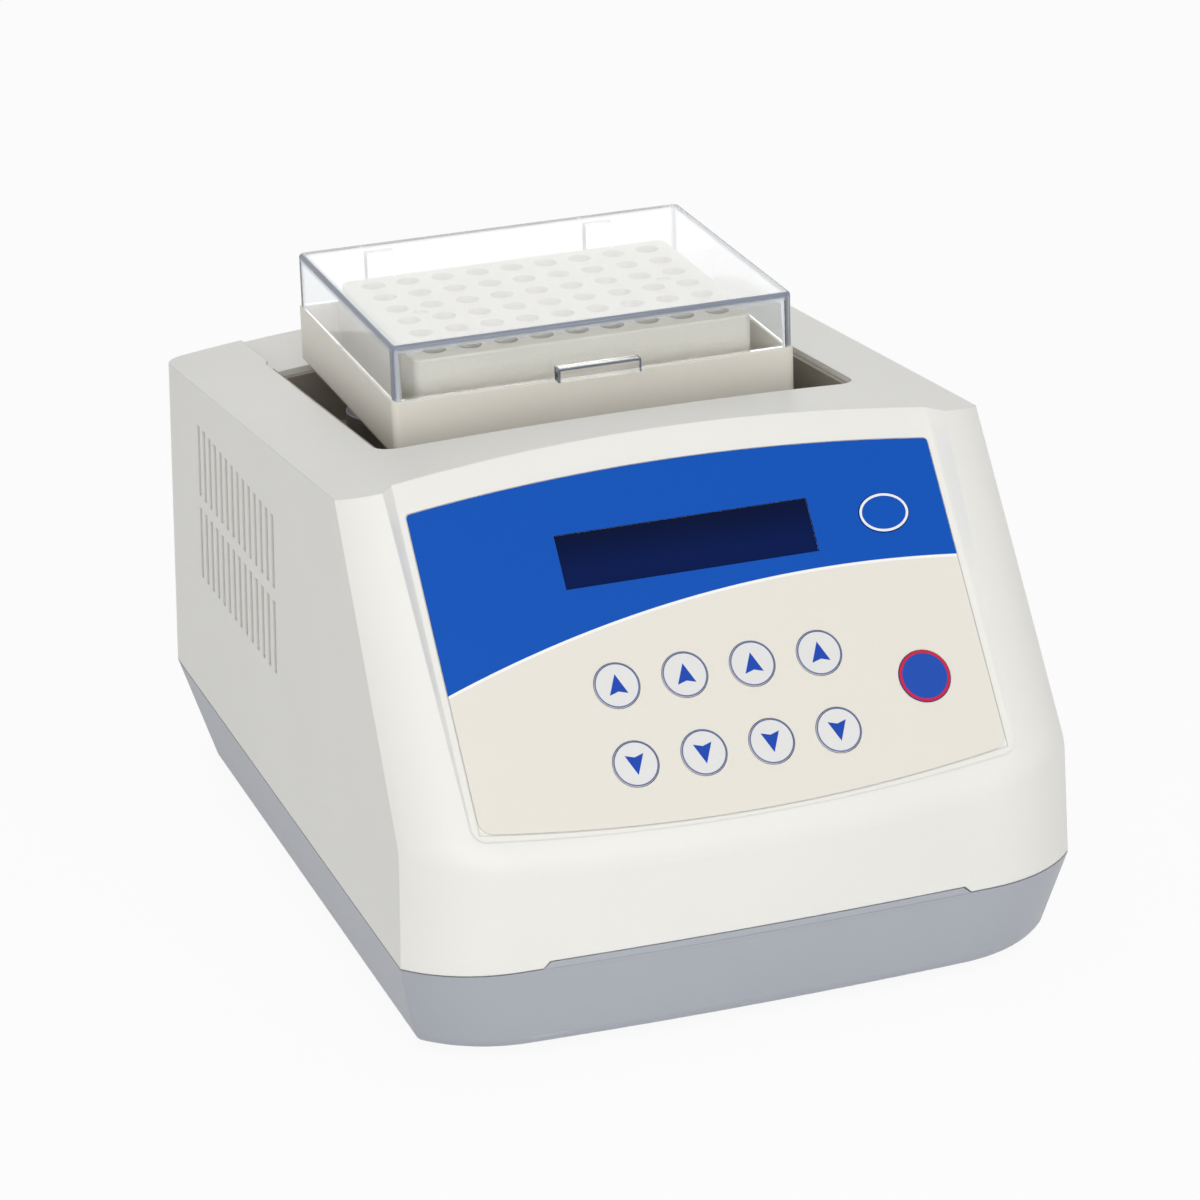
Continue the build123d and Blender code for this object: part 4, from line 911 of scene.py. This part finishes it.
@dataclass
class ControlPanel:
    """The printed film, the display and the ten keys with their marks."""

    panel: PanelFrame = PanelFrame()
    cap_top: float = 0.45 * MM
    ink: float = 0.05 * MM
    ink_root: float = 0.02 * MM
    columns: int = 4
    pitch: float = 22.0 * MM
    row_up: float = 63.3 * MM
    row_down: float = 88.4 * MM
    ring_half: float = 7.1 * MM
    ring_band: float = 0.42 * MM
    start_place: tuple[float, float] = (64.8 * MM, 76.0 * MM)
    start_half: float = 8.25 * MM
    start_band: float = 0.9 * MM
    mix_place: tuple[float, float] = (65.3 * MM, 22.0 * MM)
    mix_half: tuple[float, float] = (8.05 * MM, 6.25 * MM)
    mix_band: float = 0.8 * MM
    rim_points: int = 72
    window_drop: float = 22.2 * MM
    window_half: float = 8.7 * MM
    film_half: float = 85.5 * MM
    film_drop: float = 102.0 * MM
    film_bow: float = 6.5 * MM
    film_corner: float = 5.0 * MM
    film_cuts: int = 8
    weld: float = 0.001 * MM
    cut_reach: float = 0.0001 * MM
    white: Colour = srgb(230, 230, 229)
    blue: Colour = srgb(34, 80, 178)
    panel_blue: Colour = srgb(12, 84, 184)
    ring_colour: Colour = srgb(96, 108, 160)
    arrow_colour: Colour = srgb(30, 74, 178)
    start_colour: Colour = srgb(204, 40, 70)
    mix_colour: Colour = srgb(240, 242, 246)

    def film(self) -> bpy.types.Object:
        """The film with rounded lower corners.

        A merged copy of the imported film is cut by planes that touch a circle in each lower
        corner. The bowed lower edge leaves the corner at a slope of four times its bow over its
        width, so the circle's middle lies the radius in from the side and from that slope.

        Returns:
            The new piece.
        """
        shape = bmesh.new()
        shape.from_mesh(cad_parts["panel_overlay"].data)
        bmesh.ops.remove_doubles(shape, verts=shape.verts, dist=self.weld)
        lean = atan2(2.0 * self.film_bow, self.film_half)
        rise = self.film_corner * (1.0 - sin(lean)) / cos(lean)
        turns = np.radians(np.linspace(0.0, 90.0 - degrees(lean), self.film_cuts + 2)[1:-1])
        for side in (-1.0, 1.0):
            across = side * (self.film_half - self.film_corner + self.film_corner * np.cos(turns))
            up = rise - self.film_drop - self.film_corner * np.sin(turns)
            touch = self.panel.points(across, up, np.zeros(len(turns)))
            for point, turn in zip(touch, turns):
                way = side * cos(turn) * np.array(ACROSS) - sin(turn) * self.panel.up
                everything = shape.verts[:] + shape.edges[:] + shape.faces[:]
                bmesh.ops.bisect_plane(shape, geom=everything, dist=self.cut_reach,
                                       plane_co=point, plane_no=way, clear_outer=True)
                open_edges = [edge for edge in shape.edges if edge.is_boundary]
                bmesh.ops.holes_fill(shape, edges=open_edges, sides=0)
        mesh = bpy.data.meshes.new("panel_film")
        shape.to_mesh(mesh)
        shape.free()
        mesh.polygons.foreach_set("use_smooth", np.zeros(len(mesh.polygons), bool))
        return link("panel_film", mesh)

    def print_on(self, piece: bpy.types.Object, body: str,
                 material: bpy.types.Material) -> None:
        """Finish a printed mark on a cap.

        Args:
            piece: the mark.
            body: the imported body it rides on.
            material: its ink.
        """
        piece.data.materials.append(material)
        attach(piece, body)

    def mark(self, name: str, body: str, outline: np.ndarray,
             centre: tuple[float, float], material: bpy.types.Material) -> None:
        """A solid printed mark on a cap: an outline carried up by the ink's thickness.

        Args:
            name: the piece's name.
            body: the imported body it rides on.
            outline: an array of x and up-slope places about the centre, in metres.
            centre: the cap's place across and down the panel.
            material: its ink.
        """
        across = np.tile(outline[:, 0] + centre[0], (2, 1))
        up = np.tile(outline[:, 1] - centre[1], (2, 1))
        out = np.stack([np.full(len(outline), self.cap_top - self.ink_root),
                        np.full(len(outline), self.cap_top + self.ink)])
        piece = loft(name, self.panel.points(across, up, out))
        self.print_on(piece, body, material)

    def rim(self, name: str, body: str, outer: tuple[float, float], band: float,
            centre: tuple[float, float], material: bpy.types.Material) -> None:
        """A printed ring on a cap: a flat section carried round an ellipse.

        Args:
            name: the piece's name.
            body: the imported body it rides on.
            outer: the ellipse's half axes.
            band: the line's width.
            centre: the cap's place across and down the panel.
            material: its ink.
        """
        turn = np.linspace(0.0, 2.0 * np.pi, self.rim_points, endpoint=False)
        inset = np.array([0.0, 0.0, band, band])[:, None]
        level = self.cap_top + np.array([-self.ink_root, self.ink, self.ink, -self.ink_root])
        across = centre[0] + (outer[0] - inset) * np.cos(turn)[None]
        up = -centre[1] + (outer[1] - inset) * np.sin(turn)[None]
        out = np.tile(level[:, None], (1, len(turn)))
        piece = ring(name, self.panel.points(across, up, out))
        self.print_on(piece, body, material)

    def arrow(self, way: float) -> np.ndarray:
        """The outline of a notched arrow head.

        Args:
            way: 1 points up the slope, -1 down.

        Returns:
            The outline's corners, anticlockwise.
        """
        corners = np.array([[0.0, 3.6], [-3.0, -2.9], [0.0, -2.0], [3.0, -2.9]]) * MM
        return corners if way > 0 else -corners

    def cap(self, name: str, colour: Colour, gloss: float = 0.12) -> bpy.types.Material:
        """The finish of a key's cap.

        Args:
            name: the material's name.
            colour: its colour.
            gloss: its specular level.

        Returns:
            The material.
        """
        return MouldedPlastic(name, colour, 0.35, edge=0.2 * MM, gloss=gloss).material()

    def arrow_keys(self) -> None:
        """Dress the two rows of arrow keys and print a ring and an arrow on each."""
        white = self.cap("key_white", self.white)
        line = PrintedInk("ring_ink", self.ring_colour).material()
        head = PrintedInk("arrow_ink", self.arrow_colour).material()
        for row, down, way in (("up", self.row_up, 1.0), ("down", self.row_down, -1.0)):
            for column in range(self.columns):
                key = f"key_{row}_{column + 1}"
                centre = ((column - (self.columns - 1) / 2) * self.pitch, down)
                dress(white, key)
                self.rim(f"{key}_ring", f"{key}_body", (self.ring_half,) * 2, self.ring_band,
                         centre, line)
                self.mark(f"{key}_arrow", f"{key}_body", self.arrow(way), centre, head)

    def build(self) -> None:
        """Dress the film, display and caps, and print the marks."""
        film = self.film()
        film.data.materials.append(PanelPrint("panel_print", self.panel).material())
        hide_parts("panel_overlay")
        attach(film, "housing")
        glass = DarkGlass("display_glass", self.panel, -self.window_drop, self.window_half)
        dress(glass.material(), "display_window")
        dress(MouldedPlastic("display_frame", srgb(30, 30, 34)).material(), "display_module")
        dress(BoardLaminate("control_laminate").material(), "control_board")
        dress(MouldedPlastic("switch_plastic", srgb(36, 36, 38)).material(), "key_switches")
        self.arrow_keys()
        dress(self.cap("key_blue", self.blue), "key_start_stop")
        self.rim("start_stop_rim", "key_start_stop_body", (self.start_half,) * 2,
                 self.start_band, self.start_place,
                 PrintedInk("rim_ink", self.start_colour).material())
        dress(self.cap("key_panel_blue", self.panel_blue, 0.1), "key_short_mix")
        self.rim("short_mix_rim", "key_short_mix_body", self.mix_half, self.mix_band,
                 self.mix_place, PrintedInk("white_ink", self.mix_colour).material())


@dataclass
class OrbitDrive:
    """Motor, eccentric, counterweight, idlers and chassis."""

    steel: WorkedMetal = WorkedMetal("ground_steel", srgb(196, 198, 200), Brush.ALONG_Z, 0.2)
    sheet: WorkedMetal = WorkedMetal("chassis_sheet", srgb(186, 188, 190), Brush.ALONG_X, 0.4)
    can: WorkedMetal = WorkedMetal("motor_can", srgb(120, 122, 126), Brush.ALONG_Z, 0.36)
    cast: WorkedMetal = WorkedMetal("cast_weight", srgb(84, 84, 86), Brush.NONE, 0.6)
    bronze: WorkedMetal = WorkedMetal("sintered_bronze", srgb(196, 150, 98), Brush.NONE, 0.45)

    def build(self) -> None:
        """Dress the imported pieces."""
        dress(self.steel.material(), "drive_crank", "idler_left", "idler_right", "drive_bearing")
        dress(self.sheet.material(), "chassis_plate", "chassis_posts", "fan_bracket")
        dress(self.can.material(), "drive_motor")
        dress(self.cast.material(), "counterweight")
        dress(self.bronze.material(), "chassis_bushes", "tray_bushes")


@dataclass
class TrayAndBlock:
    """The orbiting tray, its heater and the block with its wells."""

    shell: MouldedPlastic = MouldedPlastic("tray_shell_paint", srgb(242, 238, 227), 0.45)
    block: WorkedMetal = WorkedMetal("blasted_block", srgb(212, 208, 197), Brush.NONE, 0.55,
                                     depth=0.03 * MM, metallic=0.15, cells=2200.0)
    plate: WorkedMetal = WorkedMetal("tray_aluminium", srgb(200, 200, 202), Brush.ALONG_X, 0.35)
    pad: SoftSheet = SoftSheet("foam_pad", srgb(206, 202, 192), 0.9, grain=0.3 * MM)
    pins: WorkedMetal = WorkedMetal("sensor_steel", srgb(200, 201, 203), Brush.ALONG_X, 0.22)

    def build(self) -> None:
        """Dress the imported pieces."""
        dress(self.shell.material(), "tray_shell")
        dress(self.block.material(), "tube_block")
        dress(self.plate.material(), "tray_plate", "heater_plate")
        dress(self.pad.material(), "insulation_pad")
        dress(self.pins.material(), "temperature_sensor", "hinge_pins")


@dataclass
class ClearLid:
    """The clear hinged lid. Its box takes in a tab in front and hinge ears behind, so the
    cover's own depth is kept here."""

    middle_y: float = 45.0 * MM
    depth: float = 108.4 * MM
    height: float = 18.2 * MM
    tab_height: float = 4.5 * MM

    def build(self) -> None:
        """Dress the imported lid."""
        low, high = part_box("clear_lid")
        # The lid's box and top place its painted edge shade, painted highlight and painted glare.
        clear = MouldedClear("lid_clear_plastic", middle=((low[0] + high[0]) / 2, self.middle_y),
                             half=((high[0] - low[0]) / 2, self.depth / 2), top=high[2],
                             tab_top=high[2] - self.height + self.tab_height)
        dress(clear.material(), "clear_lid")


@dataclass
class Services:
    """Cooling fan, supply board, mains inlet and switch."""

    black: MouldedPlastic = MouldedPlastic("black_plastic", srgb(34, 34, 36), 0.45)
    gloss: MouldedPlastic = MouldedPlastic("rocker_plastic", srgb(26, 26, 28), 0.25)
    board: BoardLaminate = BoardLaminate("supply_laminate", (0.02, 0.09, 0.05))
    brass: WorkedMetal = WorkedMetal("contact_brass", srgb(208, 190, 140), Brush.ALONG_Y, 0.25)
    glass: ClearPlastic = ClearPlastic("fuse_glass", (0.95, 0.97, 0.97))

    def build(self) -> None:
        """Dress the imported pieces."""
        dress(self.black.material(), "fan_frame", "fan_rotor", "power_inlet", "fuse_drawer",
              "switch_frame")
        dress(self.gloss.material(), "switch_rocker")
        dress(self.board.material(), "power_board")
        dress(self.brass.material(), "inlet_pins")
        dress(self.glass.material(), "fuse")


@dataclass(frozen=True)
class Lamp:
    """A square soft lamp: its middle and its side in metres, and its power in watts."""

    name: str
    place: tuple[float, float, float]
    size: float
    power: float

    def build(self, target: Vector) -> None:
        """Place the lamp so that it faces a point.

        Args:
            target: the point.
        """
        data = bpy.data.lights.new(self.name, "AREA")
        data.size = self.size
        data.energy = self.power
        item = link(self.name, data)
        way = target - Vector(self.place)
        item.rotation_euler = way.to_track_quat("-Z", "Y").to_euler()
        item.location = self.place
        item.visible_camera = False


@dataclass
class Studio:
    """Floor, soft lamps, surround and camera."""

    target: tuple[float, float, float] = (15.53 * MM, 45.0 * MM, 70.73 * MM)
    azimuth: float = 18.541
    elevation: float = 21.696
    roll: float = -1.834
    distance: float = 1.6196
    lens: float = 143.44
    sensor: float = 36.0
    reach: float = 50.0
    surround: float = 0.43
    floor_half: float = 4.0
    floor_colour: Colour = (0.9, 0.9, 0.9)
    floor_glow: float = 0.92
    lamps: tuple[Lamp, ...] = (Lamp("key_lamp", (-0.25, -1.8, 1.0), 1.9, 23.0),
                               Lamp("fill_lamp", (-1.6, -0.6, 0.9), 1.3, 2.0),
                               Lamp("top_lamp", (0.1, 0.3, 1.7), 1.2, 2.5),
                               Lamp("back_lamp", (0.89, 2.69, 1.3), 0.9, 2.2))

    def camera(self) -> None:
        """Place the camera on its orbit about the target, rolled about its own axis."""
        a, e, r = (radians(v) for v in (self.azimuth, self.elevation, self.roll))
        back = Vector((-sin(a) * cos(e), -cos(a) * cos(e), sin(e)))
        right = Vector((cos(a), -sin(a), 0.0))
        up = back.cross(right)
        side = cos(r) * right + sin(r) * up
        head = -sin(r) * right + cos(r) * up
        data = bpy.data.cameras.new("view")
        data.sensor_width = self.sensor
        data.lens = self.lens
        data.clip_end = self.reach
        eye = link("view", data)
        turn = Matrix((side, head, back)).transposed().to_4x4()
        eye.matrix_world = Matrix.Translation(Vector(self.target) + self.distance * back) @ turn
        bpy.context.scene.camera = eye

    def white_for_sight(self, tree: bpy.types.NodeTree) -> Socket:
        """1 for rays that only look: from the camera, from gloss and through glass.

        Args:
            tree: the tree the nodes go into.

        Returns:
            The mask.
        """
        path = tree.nodes.new("ShaderNodeLightPath")
        total = path.outputs["Is Camera Ray"]
        for key in ("Is Glossy Ray", "Is Transmission Ray"):
            most = tree.nodes.new("ShaderNodeMath")
            most.operation = "MAXIMUM"
            tree.links.new(total, most.inputs[0])
            tree.links.new(path.outputs[key], most.inputs[1])
            total = most.outputs[0]
        return total

    def world(self) -> None:
        """A plain surround, white where it is looked at."""
        world = bpy.data.worlds.new("surround")
        world.use_nodes = True
        tree = world.node_tree
        tree.nodes.clear()
        output = tree.nodes.new("ShaderNodeOutputWorld")
        mix = tree.nodes.new("ShaderNodeMixShader")
        for socket, strength in ((1, self.surround), (2, 1.0)):
            light = tree.nodes.new("ShaderNodeBackground")
            light.inputs[1].default_value = strength
            light.inputs[0].default_value = (1.0, 1.0, 1.0, 1.0)
            tree.links.new(light.outputs[0], mix.inputs[socket])
        tree.links.new(self.white_for_sight(tree), mix.inputs[0])
        tree.links.new(mix.outputs[0], output.inputs[0])
        bpy.context.scene.world = world

    def floor(self) -> None:
        """A plain pale floor that keeps the object's shadow."""
        corners = np.array([[-1.0, -1.0, 0.0], [1.0, -1.0, 0.0], [1.0, 1.0, 0.0],
                            [-1.0, 1.0, 0.0]]) * self.floor_half
        item = shell("floor", corners, [[0, 1, 2, 3]])
        graph = Graph("floor_paper")
        paper = graph.principled(self.floor_colour, 0.9, Specular_IOR_Level=0.0)
        glow = graph.add("ShaderNodeEmission")
        share = graph.math("MULTIPLY", self.white_for_sight(graph.tree), self.floor_glow)
        graph.mix_shaders(share, paper, glow)
        item.data.materials.append(graph.material)

    def build(self) -> None:
        """Set the view, the floor and the lamps."""
        bpy.context.scene.view_settings.view_transform = "Standard"
        self.camera()
        self.world()
        self.floor()
        for lamp in self.lamps:
            lamp.build(Vector(self.target))


def main() -> None:
    """Build the studio and every sub-assembly in order."""
    logging.basicConfig(level=logging.INFO, format="%(name)s %(message)s")
    for part in (Studio(), Housing(), ControlPanel(), OrbitDrive(), TrayAndBlock(),
                 ClearLid(), Services()):
        part.build()
        LOG.info("built %s", type(part).__name__)


if __name__ == "__main__":
    main()
